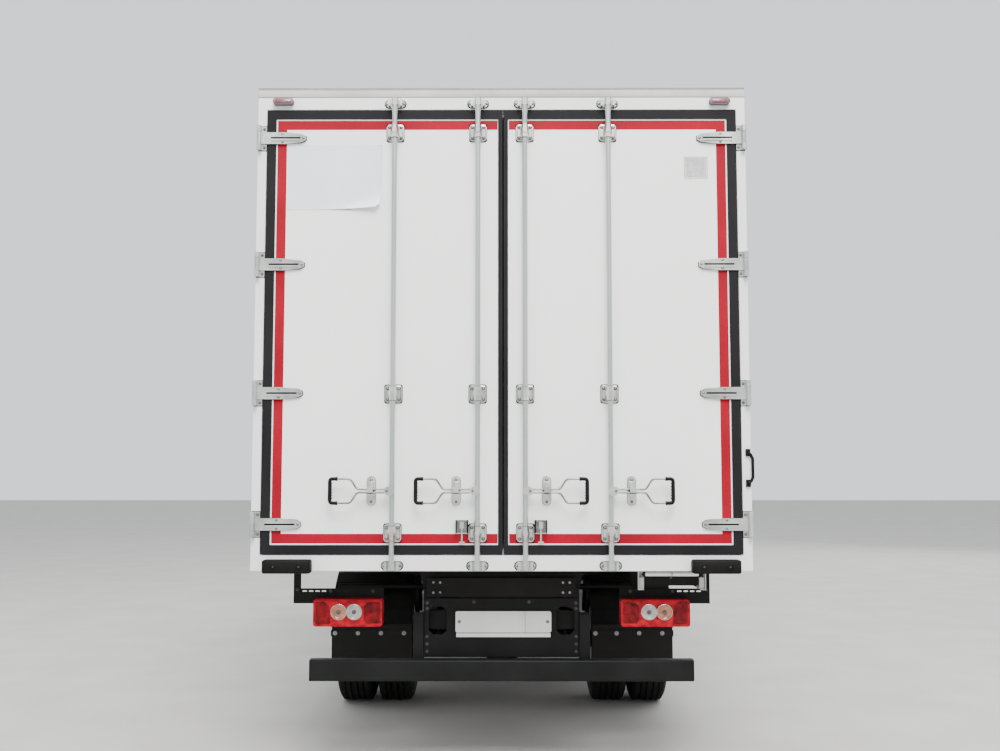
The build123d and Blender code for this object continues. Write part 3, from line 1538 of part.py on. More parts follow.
def bumper_prism(inset, rear_setback, radius, z_range):
    """A solid prism of the bumper's plan between two heights."""
    points = bumper_outline(inset, rear_setback)
    with BuildPart() as prism:
        with BuildSketch(Plane.XY.offset(z_range[0])):
            with BuildLine():
                FilletPolyline(*points, radius=radius)
                Line(points[-1], points[0])
            make_face()
        extrude(amount=z_range[1] - z_range[0])
    return prism.part


bumper_solid = bumper_prism(0, bumper_side, 120, (bumper_bottom, bumper_top))
bumper_hollow = bumper_prism(bumper_thickness, bumper_side + 10, 10, (bumper_bottom - 10, bumper_top + 10))

with BuildPart() as bumper_form:
    add(bumper_solid)
    add(bumper_hollow, mode=Mode.SUBTRACT)

with BuildPart() as front_bumper:
    add(bumper_form.part)
    for side in (-1, 1):
        block(pair(side, *lamp_cut_x), (front_station - lamp_cut_depth, front_station + 10), lamp_cut_z,
              Mode.SUBTRACT)
        block(pair(side, step_inner, bumper_half), step_stations, (bumper_bottom - 40, bumper_top))
        for tread_z in step_treads:
            block(pair(side, tread_inner, bumper_half + 4), (step_stations[0] + step_wall, step_stations[1]),
                  tread_z, Mode.SUBTRACT)
        tie_start = step_stations[1] - tie_depth - 20
        block(pair(side, half_rail, step_inner + 20), (tie_start, tie_start + tie_depth),
              (rail_bottom + 2 * bracket_edge, rail_top - 3 * bracket_edge))

with BuildPart() as lamp_cuts:
    block(lamp_cut_x, (front_station - lamp_cut_depth, front_station + 10), lamp_cut_z)
    mirror(about=Plane.YZ)

with BuildPart() as headlamps:
    add(bumper_form.part)
    add(lamp_cuts.part, mode=Mode.INTERSECT)

pieces = {
    "box_floor": box_floor,
    "box_side_walls": box_side_walls,
    "box_front_wall": box_front_wall,
    "box_roof": box_roof,
    "rear_frame": rear_frame,
    "frame_fittings": frame_fittings,
    "corner_buffers": corner_buffers,
    "grab_handle": grab_handle,
    "chassis_rails": chassis_rails,
    "subframe_runners": subframe_runners,
    "cross_members": cross_members,
    "leaf_springs": leaf_springs,
    "frame_brackets": frame_brackets,
    "axles": axles,
    "track_rod": track_rod,
    "powertrain": powertrain,
    "propeller_shaft": propeller_shaft,
    "tanks": tanks,
    "battery_box": battery_box,
    "exhaust": exhaust,
    "mudguards": mudguards,
    "mud_flaps": mud_flaps,
    "underrun_bar": underrun_bar,
    "rear_brackets": rear_brackets,
    "rear_lamps": rear_lamps,
    "step_ladder": step_ladder,
    "side_guard_rails": side_guard_rails,
    "side_guard_posts": side_guard_posts,
    "cab_shell": cab_shell,
    "cab_glass": cab_glass,
    "grille": grille,
    "cab_underframe": cab_underframe,
    "seat_pads": seat_pads,
    "cab_interior": cab_interior,
    "mirrors": mirrors,
    "front_bumper": front_bumper,
    "headlamps": headlamps,
}
for name, piece in pieces.items():
    piece.part.label = name
    export_step(piece.part, f"parts/{name}.step")
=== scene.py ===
# %% [markdown]
# # An insulated box truck, seen from behind
# The truck's solids come ready made, at their real sizes, and never move. This notebook dresses them: it gives
# every piece a finish worked out by nodes, and models what is too small or too soft for the solids, such as
# tread, tape, screws, grips, lenses and seats. Everything is in metres. X points to the truck's right, Y forward
# and Z up, with the ground at zero.

import math

import bmesh
import bpy
from mathutils import Matrix, Vector


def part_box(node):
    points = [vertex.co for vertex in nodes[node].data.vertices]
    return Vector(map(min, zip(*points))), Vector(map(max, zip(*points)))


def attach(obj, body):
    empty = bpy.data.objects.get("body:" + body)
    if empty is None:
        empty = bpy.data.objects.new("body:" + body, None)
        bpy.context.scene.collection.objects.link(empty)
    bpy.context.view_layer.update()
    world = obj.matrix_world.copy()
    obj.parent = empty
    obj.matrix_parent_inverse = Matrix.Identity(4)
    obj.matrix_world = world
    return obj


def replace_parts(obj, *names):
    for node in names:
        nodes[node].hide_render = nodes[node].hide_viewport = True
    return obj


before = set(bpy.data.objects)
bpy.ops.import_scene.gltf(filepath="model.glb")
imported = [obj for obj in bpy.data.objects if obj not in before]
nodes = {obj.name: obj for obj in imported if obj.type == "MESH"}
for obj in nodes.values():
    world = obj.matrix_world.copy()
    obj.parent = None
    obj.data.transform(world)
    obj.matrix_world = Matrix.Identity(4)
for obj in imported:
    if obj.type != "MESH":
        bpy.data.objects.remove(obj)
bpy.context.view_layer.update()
SIDES = (-1, 1)
HANDS = (("left", -1), ("right", 1))
rear_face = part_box("rear_frame")[0].y

# %% [markdown]
# The camera stands where the photographer stood: about six metres behind the truck, at a little under eye
# height, and tipped up five degrees so that the roof fits. The lens follows from how fast the sides of the body
# draw together towards the roof.

# %% Camera
camera_data = bpy.data.cameras.new("photo_camera")
camera_data.lens = 41.27
camera_data.sensor_width = 36.0
camera = bpy.data.objects.new("photo_camera", camera_data)
camera.location = (0.0144, -9.910, 1.58)
tipped_up = math.radians(4.912)
turned_left = 0.003608
camera.rotation_euler = (math.radians(90) + tipped_up, 0.0, turned_left)
bpy.context.collection.objects.link(camera)
bpy.context.scene.camera = camera
print("camera stands", round(rear_face - camera.location.y, 2), "m behind the rear face")

# %% [markdown]
# The photograph was taken under a bright overcast sky, which is one huge soft lamp. A pale world does most of
# that work. One wide panel overhead and one high behind the camera give the rear face its even white, a third
# opens up the front, and the plain floor is pale and dull so that it bounces a little light under the truck.

# %% Light and floor
world = bpy.data.worlds.new("overcast")
world.use_nodes = True
sky = world.node_tree.nodes["Background"].inputs
sky["Color"].default_value = (0.90, 0.93, 0.97, 1)
sky["Strength"].default_value = 1.35
bpy.context.scene.world = world


def soft_panel(name, place, target, size, power):
    """A square area lamp that looks at a target."""
    data = bpy.data.lights.new(name, "AREA")
    data.shape = "SQUARE"
    data.size = size
    data.energy = power
    lamp = bpy.data.objects.new(name, data)
    lamp.location = place
    lamp.rotation_euler = (Vector(target) - Vector(place)).to_track_quat("-Z", "Y").to_euler()
    bpy.context.collection.objects.link(lamp)


soft_panel("sky_panel", (0, -6, 13), (0, -1, 1), 12.0, 2300)
soft_panel("camera_side_panel", (1.5, -16, 14), (0, -4, 2), 7.0, 3900)
soft_panel("far_side_panel", (9, 12, 8), (0, 0, 1.5), 9.0, 900)

floor_mesh = bpy.data.meshes.new("floor")
reach = 60.0
floor_corners = [(-reach, -reach, 0), (reach, -reach, 0), (reach, reach, 0), (-reach, reach, 0)]
floor_mesh.from_pydata(floor_corners, [], [(0, 1, 2, 3)])
studio_floor = bpy.data.objects.new("studio_floor", floor_mesh)
bpy.context.collection.objects.link(studio_floor)

# %% [markdown]
# Real paint, zinc and rubber are never one flat colour. The helper below builds a finish in layers: two close
# tints mixed by a slow noise, a gloss that wanders with the same noise, and a fine bump. `stretch` squeezes the
# noise along an axis, which turns it into brushing or drawn lines. The numbers that stay the same all over go
# straight onto the shader. Another helper lays the colours of a second texture over the tints.

# %% Helpers for finishes


def added(tree, kind, **values):
    """Adds a shader node and sets its inputs. A space in an input's name is written as an underscore."""
    node = tree.nodes.new("ShaderNode" + kind)
    for name, value in values.items():
        node.inputs[name.replace("_", " ")].default_value = value
    return node


def finish_of(name, colour, second, roughness, metallic=0.0, scale=6.0, grain=220.0, bump=0.02,
              stretch=(1, 1, 1), coat=0.0, spread=0.08, specular=0.5):
    """A finish from two tints, a wandering gloss and a fine bump. Scales are per metre."""
    material = bpy.data.materials.new(name)
    material.use_nodes = True
    tree = material.node_tree
    link = tree.links.new
    shader = tree.nodes["Principled BSDF"]
    shader.inputs["Metallic"].default_value = metallic
    shader.inputs["Coat Weight"].default_value = coat
    shader.inputs["Specular IOR Level"].default_value = specular
    mapping = added(tree, "Mapping", Scale=stretch)
    link(added(tree, "TexCoord").outputs["Object"], mapping.inputs["Vector"])
    slow = added(tree, "TexNoise", Scale=scale, Detail=5.0)
    fine = added(tree, "TexNoise", Scale=grain, Detail=3.0)
    for noise in (slow, fine):
        link(mapping.outputs["Vector"], noise.inputs["Vector"])
    tints = added(tree, "ValToRGB")
    tints.name = "tints"
    for stop, position, tint in zip(tints.color_ramp.elements, (0.35, 0.65), (colour, second)):
        stop.position = position
        stop.color = (*tint, 1)
    link(slow.outputs["Fac"], tints.inputs["Fac"])
    link(tints.outputs["Color"], shader.inputs["Base Color"])
    gloss = added(tree, "MapRange", To_Min=max(0.02, roughness - spread), To_Max=min(1.0, roughness + spread))
    link(slow.outputs["Fac"], gloss.inputs["Value"])
    link(gloss.outputs["Result"], shader.inputs["Roughness"])
    relief = added(tree, "Bump", Strength=bump, Distance=0.002)
    link(fine.outputs["Fac"], relief.inputs["Height"])
    link(relief.outputs["Normal"], shader.inputs["Normal"])
    return material


def laid_over(material, kind, scale, blend, factor):
    """Lays the colours of another texture over the tints of a finish, and gives that texture back."""
    tree = material.node_tree
    texture = added(tree, kind, Scale=scale)
    tree.links.new(tree.nodes["Mapping"].outputs["Vector"], texture.inputs["Vector"])
    mix = added(tree, "Mix")
    mix.data_type = "RGBA"
    mix.blend_type = blend
    mix.inputs["Factor"].default_value = factor
    tree.links.new(tree.nodes["tints"].outputs["Color"], mix.inputs["A"])
    tree.links.new(texture.outputs["Color"], mix.inputs["B"])
    tree.links.new(mix.outputs["Result"], tree.nodes["Principled BSDF"].inputs["Base Color"])
    return texture


floor_finish = finish_of("pale_floor", (0.44, 0.43, 0.41), (0.48, 0.47, 0.45), 0.9, scale=1.5, bump=0.01, specular=0.2)
floor_mesh.materials.append(floor_finish)
print("finish ready:", floor_finish.name)

# %% [markdown]
# The body's panels are glass-fibre skins over foam. They are off-white, a little warmer in the doors, with the
# slight waviness of a moulded skin. The steel frame round the doors has the same white in paint. All of them are
# given to the solids' own material slots. Sharp corners of sheet and plate get a hair-wide bevel, as folding or
# grinding leaves, so that they catch a line of light.

# %% White panels


def dress(finish, *names):
    """Gives a finish to whole solids."""
    for name in names:
        mesh = nodes[name].data
        mesh.materials.clear()
        mesh.materials.append(finish)


def eased(width, *names):
    """Lets the light catch the sharp edges of solids: faces are joined up, then a bevel cuts the edges."""
    for name in names:
        weld = nodes[name].modifiers.new("joined_faces", "WELD")
        weld.merge_threshold = 0.00002
        bevel = nodes[name].modifiers.new("eased_edges", "BEVEL")
        bevel.width = width
        bevel.segments = 2
        bevel.limit_method = "ANGLE"
        bevel.angle_limit = math.radians(50)


panel_white = finish_of(
    "panel_white", (0.885, 0.88, 0.865), (0.91, 0.905, 0.89), 0.42, scale=1.3, grain=35, bump=0.03, coat=0.08)
frame_white = finish_of("frame_white", (0.80, 0.80, 0.79), (0.83, 0.825, 0.81), 0.45, scale=3.0, grain=300, coat=0.05)
roof_white = finish_of("roof_white", (0.72, 0.71, 0.69), (0.79, 0.78, 0.76), 0.5, scale=2.0, grain=60, bump=0.05)
dress(panel_white, "box_side_walls", "box_front_wall", "rear_door_left_panel", "rear_door_right_panel")
dress(frame_white, "rear_frame")
dress(roof_white, "box_roof", "box_floor")
eased(0.003, "rear_frame", "box_roof")
print("white finishes: 3")

# %% [markdown]
# The door gear is zinc-plated steel: pale, with a soft milky sheen, small crystals in the plating and a faint
# yellow or blue cast. A cell texture gives the crystals. The tank and the side guards are aluminium, which is
# brighter and drawn along its length.

# %% Bare metals
zinc = finish_of("zinc_plate", (0.44, 0.455, 0.435), (0.62, 0.635, 0.60), 0.32, metallic=0.85, scale=9, grain=400)
laid_over(zinc, "TexVoronoi", 140, "SOFT_LIGHT", 0.25)
aluminium = finish_of(
    "aluminium", (0.72, 0.73, 0.74), (0.80, 0.81, 0.82), 0.34, metallic=0.9, scale=14, grain=500,
    stretch=(1, 0.08, 1))
rod_zinc = finish_of(
    "rod_zinc", (0.47, 0.51, 0.49), (0.56, 0.60, 0.57), 0.28, metallic=0.85, scale=12, grain=300,
    stretch=(1, 1, 0.1))
ladder_white = finish_of("ladder_white", (0.50, 0.50, 0.48), (0.62, 0.62, 0.60), 0.4, metallic=0.2, scale=10, coat=0.1)
dress(zinc, "frame_fittings", "rear_door_left_hinges", "rear_door_right_hinges", "exhaust",
      "rear_door_left_locks", "rear_door_right_locks")
dress(aluminium, "tanks", "side_guard_rails", "side_guard_posts")
dress(ladder_white, "step_ladder")
eased(0.002, "side_guard_rails", "step_ladder")
print("metal finishes:", [m.name for m in (zinc, aluminium, rod_zinc, ladder_white)])

# %% [markdown]
# Rubber is nearly black, dull and a little blue where it faces the sky. The chassis is black paint under road
# dust. The dust is the second tint of the finish, so it gathers in patches.

# %% Rubber, plastic and chassis paint
seal_rubber = finish_of(
    "seal_rubber", (0.007, 0.006, 0.007), (0.011, 0.010, 0.011), 0.65, scale=3, grain=90, bump=0.05, specular=0.15)
# black rubber for the buffers, also used for the dark sheets of painted shade round the door gear and frame
black_rubber = finish_of(
    "black_rubber", (0.004, 0.004, 0.004), (0.007, 0.006, 0.006), 0.62, scale=10, grain=260, specular=0.12)
black_plastic = finish_of(
    "black_plastic", (0.003, 0.003, 0.003), (0.006, 0.006, 0.006), 0.5, scale=8, grain=700, bump=0.08, specular=0.15)
chassis_black = finish_of(
    "chassis_black", (0.003, 0.003, 0.003), (0.008, 0.007, 0.006), 0.55, scale=5, grain=150, bump=0.05,
    specular=0.15)
bar_grey = finish_of(
    "bar_grey", (0.004, 0.004, 0.0045), (0.008, 0.008, 0.0085), 0.5, scale=4, grain=200, bump=0.03, specular=0.15)
cast_iron = finish_of(
    "cast_iron", (0.012, 0.012, 0.011), (0.028, 0.024, 0.020), 0.7, metallic=0.3, scale=12, grain=120, bump=0.15,
    specular=0.2)
flap_rubber = finish_of(
    "flap_rubber", (0.008, 0.007, 0.007), (0.012, 0.011, 0.010), 0.6, scale=6, grain=200, bump=0.06, specular=0.2)
dress(seal_rubber, "rear_door_left_seal", "rear_door_right_seal")
dress(black_rubber, "corner_buffers")
dress(flap_rubber, "mud_flaps")
dress(black_plastic, "battery_box", "mudguards", "rear_brackets", "grille", "mirrors", "front_bumper",
      "grab_handle")
dress(chassis_black, "chassis_rails", "subframe_runners", "cross_members", "leaf_springs", "frame_brackets",
      "cab_underframe")
dress(bar_grey, "underrun_bar")
dress(cast_iron, "axles", "powertrain", "propeller_shaft", "track_rod", "steering_knuckle_left",
      "steering_knuckle_right")
eased(0.003, "underrun_bar")
eased(0.0015, "rear_brackets", "cross_members")
print("dark finishes: 7")

# %% [markdown]
# The cab is painted the same white with a clear coat. Its windows are lightly tinted, thin glass. The trim
# inside is a dark grained plastic.

# %% Cab finishes
cab_white = finish_of(
    "cab_white", (0.80, 0.81, 0.81), (0.82, 0.83, 0.83), 0.25, scale=2, grain=500, bump=0.005, coat=0.6)
cab_trim = finish_of("cab_trim", (0.050, 0.051, 0.054), (0.070, 0.071, 0.074), 0.62, scale=12, grain=900, bump=0.12)
window_glass = finish_of(
    "window_glass", (0.05, 0.065, 0.065), (0.06, 0.08, 0.08), 0.05, scale=2, bump=0.0, spread=0.02)
window_glass.node_tree.nodes["Principled BSDF"].inputs["Alpha"].default_value = 0.42
window_glass.surface_render_method = "BLENDED"
lamp_clear = finish_of("lamp_clear", (0.62, 0.64, 0.66), (0.72, 0.74, 0.76), 0.12, scale=10, coat=0.6)
lamp_glass = finish_of("lamp_glass", (0.20, 0.21, 0.23), (0.30, 0.31, 0.33), 0.10, scale=10, coat=0.6)
rim_silver = finish_of("rim_silver", (0.50, 0.51, 0.52), (0.60, 0.61, 0.62), 0.36, metallic=0.5, scale=7, grain=300)
dress(cab_white, "cab_shell", "cab_door_left_panel", "cab_door_right_panel")
dress(cab_trim, "cab_interior")
dress(window_glass, "cab_glass", "cab_door_left_glass", "cab_door_right_glass")
dress(lamp_glass, "headlamps")
print("cab finishes: 6")

# %% [markdown]
# Four small tools make almost everything else. `turned` spins a profile round an axis, as a lathe does, for
# screws, lenses and rims. `tube` runs a round section along a path, for grips and wires. `slab` is a block with
# softened edges, and `plate` cuts a shape with any outline out of sheet. Each adds to one mesh, so a hundred
# screws are still one piece.

# %% Tools for making pieces


def turned(bm, centre, axis, profile, segments=20):
    """Adds a turned form. The profile holds (distance along the axis, radius) pairs."""
    turn = Vector((0, 0, 1)).rotation_difference(Vector(axis)).to_matrix()
    rings = []
    for along, radius in profile:
        if radius < 1e-6:
            rings.append([bm.verts.new(Vector(centre) + turn @ Vector((0, 0, along)))] * segments)
            continue
        ring = []
        for step in range(segments):
            angle = 2 * math.pi * step / segments
            point = Vector((radius * math.cos(angle), radius * math.sin(angle), along))
            ring.append(bm.verts.new(Vector(centre) + turn @ point))
        rings.append(ring)
    joined(bm, rings)


def joined(bm, rings):
    """Adds the faces between rings of points, each with its neighbour. A ring may be one point, many times."""
    for low, high in zip(rings, rings[1:]):
        for step in range(len(low)):
            after = (step + 1) % len(low)
            corners = list(dict.fromkeys([low[step], low[after], high[after], high[step]]))
            if len(corners) > 2:
                bm.faces.new(corners)


def tube(bm, path, radius, segments=10):
    """Adds a round tube along a list of points, with its ends closed."""
    points = [Vector(point) for point in path]
    rings = []
    side = None
    for index, point in enumerate(points):
        before = points[max(index - 1, 0)]
        after = points[min(index + 1, len(points) - 1)]
        along = (after - before).normalized()
        if side is None:
            side = along.orthogonal().normalized()
        side = (side - side.dot(along) * along).normalized()
        other = along.cross(side)
        rings.append([
            bm.verts.new(point + radius * (math.cos(a) * side + math.sin(a) * other))
            for a in [2 * math.pi * step / segments for step in range(segments)]
        ])
    joined(bm, rings)
    bm.faces.new(list(reversed(rings[0])))
    bm.faces.new(rings[-1])


def slab(bm, low, high, soften=0.0):
    """Adds a block between two corners, with softened edges."""
    size = Vector(high) - Vector(low)
    middle = (Vector(high) + Vector(low)) / 2
    place = Matrix.Translation(middle) @ Matrix.Diagonal((*size, 1))
    made = bmesh.ops.create_cube(bm, size=1.0, matrix=place)
    if soften:
        edges = list(dict.fromkeys(edge for vert in made["verts"] for edge in vert.link_edges))
        bmesh.ops.bevel(bm, geom=edges, offset=soften, segments=2, affect="EDGES", profile=0.5)


def plate(bm, outline, y_rear, y_front, soften=0.0):
    """Adds a plate that stands across Y, from an outline of (X, Z) points. Its rear edge may be softened."""
    rear = [bm.verts.new((x, y_rear, z)) for x, z in outline]
    front = [bm.verts.new((x, y_front, z)) for x, z in outline]
    face = bm.faces.new(rear)
    bm.faces.new(list(reversed(front)))
    for here in range(len(outline)):
        after = (here + 1) % len(outline)
        bm.faces.new([rear[here], front[here], front[after], rear[after]])
    if soften:
        bmesh.ops.bevel(bm, geom=list(face.edges), offset=soften, segments=2, affect="EDGES", profile=0.5)


def rounded(centre_x, centre_z, width, height, corner, steps=6):
    """The outline of a rectangle with round corners, as (X, Z) points."""
    points = []
    for quarter, (sx, sz) in enumerate(((1, 1), (-1, 1), (-1, -1), (1, -1))):
        for step in range(steps + 1):
            angle = math.pi / 2 * (quarter + step / steps)
            points.append((centre_x + sx * (width / 2 - corner) + corner * math.cos(angle),
                           centre_z + sz * (height / 2 - corner) + corner * math.sin(angle)))
    return points


def bend(points, radius, steps=5):
    """Rounds the inner corners of a path of points."""
    path = [Vector(points[0])]
    for before, here, after in zip(points, points[1:], points[2:]):
        here = Vector(here)
        start = here + (Vector(before) - here).normalized() * radius
        end = here + (Vector(after) - here).normalized() * radius
        for step in range(steps + 1):
            t = step / steps
            path.append(start.lerp(here, t).lerp(here.lerp(end, t), t))
    path.append(Vector(points[-1]))
    return path


print("tools: turned, tube, slab, plate")

# %% [markdown]
# Most small pieces lie on the rear face. Two shorter forms of `plate` and `slab` take their distance from that
# face: how far the piece stands proud, and how far off the face its foot is, which is below zero for what is
# stuck or sunk a hair into it. The last tools turn a finished mesh into a piece that rides on a body.

# %% Tools for the rear face and for bodies
STUCK = -0.0002


def span(middle, half):
    """The two ends of a length, from its middle and half its size."""
    return (middle - half, middle + half)


def face_plate(bm, outline, proud, foot=0.0, soften=0.0):
    """Adds a plate on the rear face."""
    plate(bm, outline, rear_face - proud, rear_face - foot, soften)


def face_slab(bm, x_ends, z_ends, proud, foot=0.0, soften=0.0):
    """Adds a block on the rear face."""
    slab(bm, (min(x_ends), rear_face - proud, z_ends[0]), (max(x_ends), rear_face - foot, z_ends[1]), soften)


def piece_from(bm, name, finish, body="chassis", smooth_under=40.0):
    """Turns a finished bmesh into a piece that rides on a body."""
    bmesh.ops.recalc_face_normals(bm, faces=bm.faces)
    mesh = bpy.data.meshes.new(name)
    bm.to_mesh(mesh)
    bm.free()
    mesh.materials.append(finish)
    mesh.shade_smooth()
    mesh.set_sharp_from_angle(angle=math.radians(smooth_under))
    piece = bpy.data.objects.new(name, mesh)
    bpy.context.collection.objects.link(piece)
    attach(piece, body)
    return piece


def door_piece(bm, hand, kind, finish, smooth_under=40.0):
    """Turns a finished bmesh into a piece of one rear door."""
    return piece_from(bm, f"rear_door_{hand}_{kind}", finish, f"rear_door_{hand}", smooth_under)


def meshes(count):
    """As many empty meshes to add to."""
    return [bmesh.new() for _ in range(count)]


print("a stuck sheet sinks in by", -STUCK * 1000, "mm")

# %% [markdown]
# Red reflective tape marks the outline of both doors: along the top, down the hinge side and along the bottom,
# with a thin white line at its edges. Under the clear top layer lie rows of tiny prisms, which a cell pattern
# stands for. The strips are half a millimetre proud, as tape is.

# %% Reflective tape


def tape_finish(name, colour, second):
    """A reflective film with a fine pattern of cells."""
    material = finish_of(name, colour, second, 0.55, scale=4, grain=300, bump=0.01, specular=0.15)
    laid_over(material, "TexVoronoi", 260, "SOFT_LIGHT", 0.12)
    return material


tape_red = tape_finish("tape_red", (0.25, 0.0002, 0.010), (0.31, 0.0004, 0.014))
tape_white = tape_finish("tape_white", (0.86, 0.85, 0.83), (0.90, 0.89, 0.88))
tape_width = 0.050
line_width = 0.006
tape_outer = 1.199
tape_inner = {"left": 0.020, "right": 0.040}
tape_bottom, tape_top = 1.2155, 3.4665

for hand, side in HANDS:
    inner = tape_inner[hand]
    for kind, inset, width, proud, finish in (("edge", 0.0, tape_width + 2 * line_width, 0.0004, tape_white),
                                              ("tape", line_width, tape_width, 0.0007, tape_red)):
        outer = tape_outer - inset
        top = tape_top - inset
        bottom = tape_bottom + inset
        strips = bmesh.new()
        for near, far, low, high in ((outer - width, outer, bottom, top),
                                     (inner, outer - width, top - width, top),
                                     (inner, outer - width, bottom, bottom + width)):
            face_slab(strips, (side * near, side * far), (low, high), proud, STUCK)
        door_piece(strips, hand, kind, finish)
print("tape strips per door:", 3)

# %% [markdown]
# A clear protective film is stuck to the upper left of the left door, with its lower corner peeling away, and a
# small square label sits at the upper right of the right door. The film is a thin sheet whose corner is lifted
# by a smooth function of the distance to the crease. The label is left bare inside a thin printed border.

# %% Film and label
film_sheen = finish_of(
    "film_sheen", (0.79, 0.80, 0.84), (0.82, 0.83, 0.87), 0.25, scale=5, grain=30, bump=0.12, coat=0.4)
film_x = (-1.138, -0.639)
film_z = (2.979, 3.326)
columns, rows = 36, 26
crease_reach = (0.36, 0.10)
corner_lift = 0.034
film = bmesh.new()
grid = []
for row in range(rows + 1):
    z = film_z[0] + (film_z[1] - film_z[0]) * row / rows
    line = []
    for column in range(columns + 1):
        x = film_x[0] + (film_x[1] - film_x[0]) * column / columns
        past = (x - film_x[1]) / crease_reach[0] + (film_z[0] - z) / crease_reach[1] + 1.0
        lift = corner_lift * max(0.0, past) ** 2
        sink = 0.30 * lift
        line.append(film.verts.new((x - sink, rear_face - 0.0008 - lift, z + sink)))
    grid.append(line)
for low, high in zip(grid, grid[1:]):
    for column in range(columns):
        film.faces.new([low[column], low[column + 1], high[column + 1], high[column]])
bmesh.ops.delete(film, geom=[grid[0][0], grid[0][columns], grid[rows][columns]], context="VERTS")
piece_from(film, "door_film", film_sheen, "rear_door_left", 80)

# painted shadow: thin grey strips along the film's right, bottom and top edges
painted_film_edge_shadow = finish_of("painted_film_edge_shadow", (0.42, 0.42, 0.44), (0.55, 0.55, 0.57), 0.5, scale=20)
edge = bmesh.new()
for x_ends, z_ends in (((film_x[1] - 0.004, film_x[1] + 0.0022), (film_z[0] + 0.115, film_z[1])),
                       ((film_x[0], film_x[1] - 0.16), (film_z[0] - 0.002, film_z[0] + 0.004)),
                       (film_x, (film_z[1] - 0.004, film_z[1] + 0.0012))):
    face_slab(edge, x_ends, z_ends, 0.0006, STUCK)
piece_from(edge, "door_film_painted_edge_shadow", painted_film_edge_shadow, "rear_door_left")

ink = finish_of("label_ink", (0.10, 0.10, 0.11), (0.16, 0.16, 0.17), 0.5, scale=60)
label_grey = finish_of("label_grey", (0.36, 0.36, 0.36), (0.50, 0.50, 0.49), 0.5, scale=50)
label_x, label_z = 1.034, 3.2035
label, field, border = meshes(3)
face_plate(label, rounded(label_x, label_z, 0.134, 0.127, 0.004), 0.0005, STUCK)
piece_from(label, "door_label", tape_white, "rear_door_right")
face_plate(field, rounded(label_x, label_z, 0.112, 0.105, 0.002), 0.0007, 0.0003)
piece_from(field, "door_label_field", label_grey, "rear_door_right")
border_x, border_z, border_width = (0.972, 1.096), (3.145, 3.262), 0.003
for end in (0, 1):
    inward = border_width * (1 - 2 * end)
    face_slab(border, border_x, sorted((border_z[end], border_z[end] + inward)), 0.0008, 0.0004)
    face_slab(border, (border_x[end], border_x[end] + inward), border_z, 0.0008, 0.0004)
piece_from(border, "door_label_border", ink, "rear_door_right")
print("film", round(film_x[1] - film_x[0], 3), "m wide")

# %% [markdown]
# A grey-beige edge strip runs along the top of the rear frame, and the fine shadow under it is painted as a thin dark
# strip.
# It is a folded sheet over the frame's top corner, and it laps a little over both sides.

# %% Top edge strip
cap_lip_and_shadow_finish = finish_of("cap_lip_and_painted_shadow", (0.20, 0.19, 0.16), (0.27, 0.26, 0.22), 0.45, scale=3, grain=200, coat=0.05)
cap_sheet = finish_of("cap_sheet", (0.44, 0.41, 0.395), (0.56, 0.53, 0.51), 0.4, scale=4, grain=200, coat=0.1)
frame_low, frame_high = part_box("rear_frame")
cap_x = (frame_low.x + 0.001, frame_high.x - 0.001)
cap_z = (3.590, 3.6395)
cap, lip = meshes(2)
face_slab(cap, cap_x, cap_z, 0.0025, -0.0005, 0.0008)
face_slab(cap, cap_x, (3.627, cap_z[1]), 0.004, 0.0, 0.001)
for side in SIDES:
    face_slab(cap, (side * frame_high.x, side * (frame_high.x + 0.0015)), cap_z, 0.0, -0.098, 0.0005)
piece_from(cap, "frame_cap", cap_sheet)
face_slab(lip, cap_x, (3.6305, 3.6398), 0.005, -0.02, 0.001)
# painted shadow: a thin dark strip under the cap
face_slab(lip, cap_x, (3.5865, 3.5902), 0.0008, -0.0005)
piece_from(lip, "frame_cap_lip_and_painted_shadow", cap_lip_and_shadow_finish)
print("cap strip", round((cap_z[1] - cap_z[0]) * 1000), "mm high")

# %% [markdown]
# Screws hold every strap, guide and keeper. The head of a pan-head screw is a low dome on a thin washer, with a
# recess pressed into it. A hexagon bolt is a washer and a short profile turned with six segments. The places of
# hinges, lock bars, guides and handles are measured from the photograph, as those of the solids are.

# %% Screw heads, and the places of the door gear
PAN = ((0.0, 1.15), (0.10, 1.15), (0.12, 1.0), (0.30, 0.98), (0.50, 0.75), (0.60, 0.35), (0.56, 0.30), (0.45, 0.0))
WASHER = ((0.0, 1.0), (0.12, 1.0), (0.12, 0.0))
HEX = ((0.1, 0.62), (0.62, 0.62), (0.70, 0.52), (0.70, 0.0))
REAR = (0, -1, 0)
UP = (0, 0, 1)
FRONT = (0, 1, 0)


def head(bm, centre, radius, profile, segments):
    """Adds a screw head that points to the rear, from a profile in shares of its radius."""
    turned(bm, centre, REAR, [(a * radius, r * radius) for a, r in profile], segments)


def pan_head(bm, centre, radius):
    """Adds a pan-head screw."""
    head(bm, centre, radius, PAN, 14)


def hex_head(bm, centre, radius):
    """Adds a hexagon bolt on its washer."""
    head(bm, centre, radius, WASHER, 18)
    head(bm, centre, radius, HEX, 6)


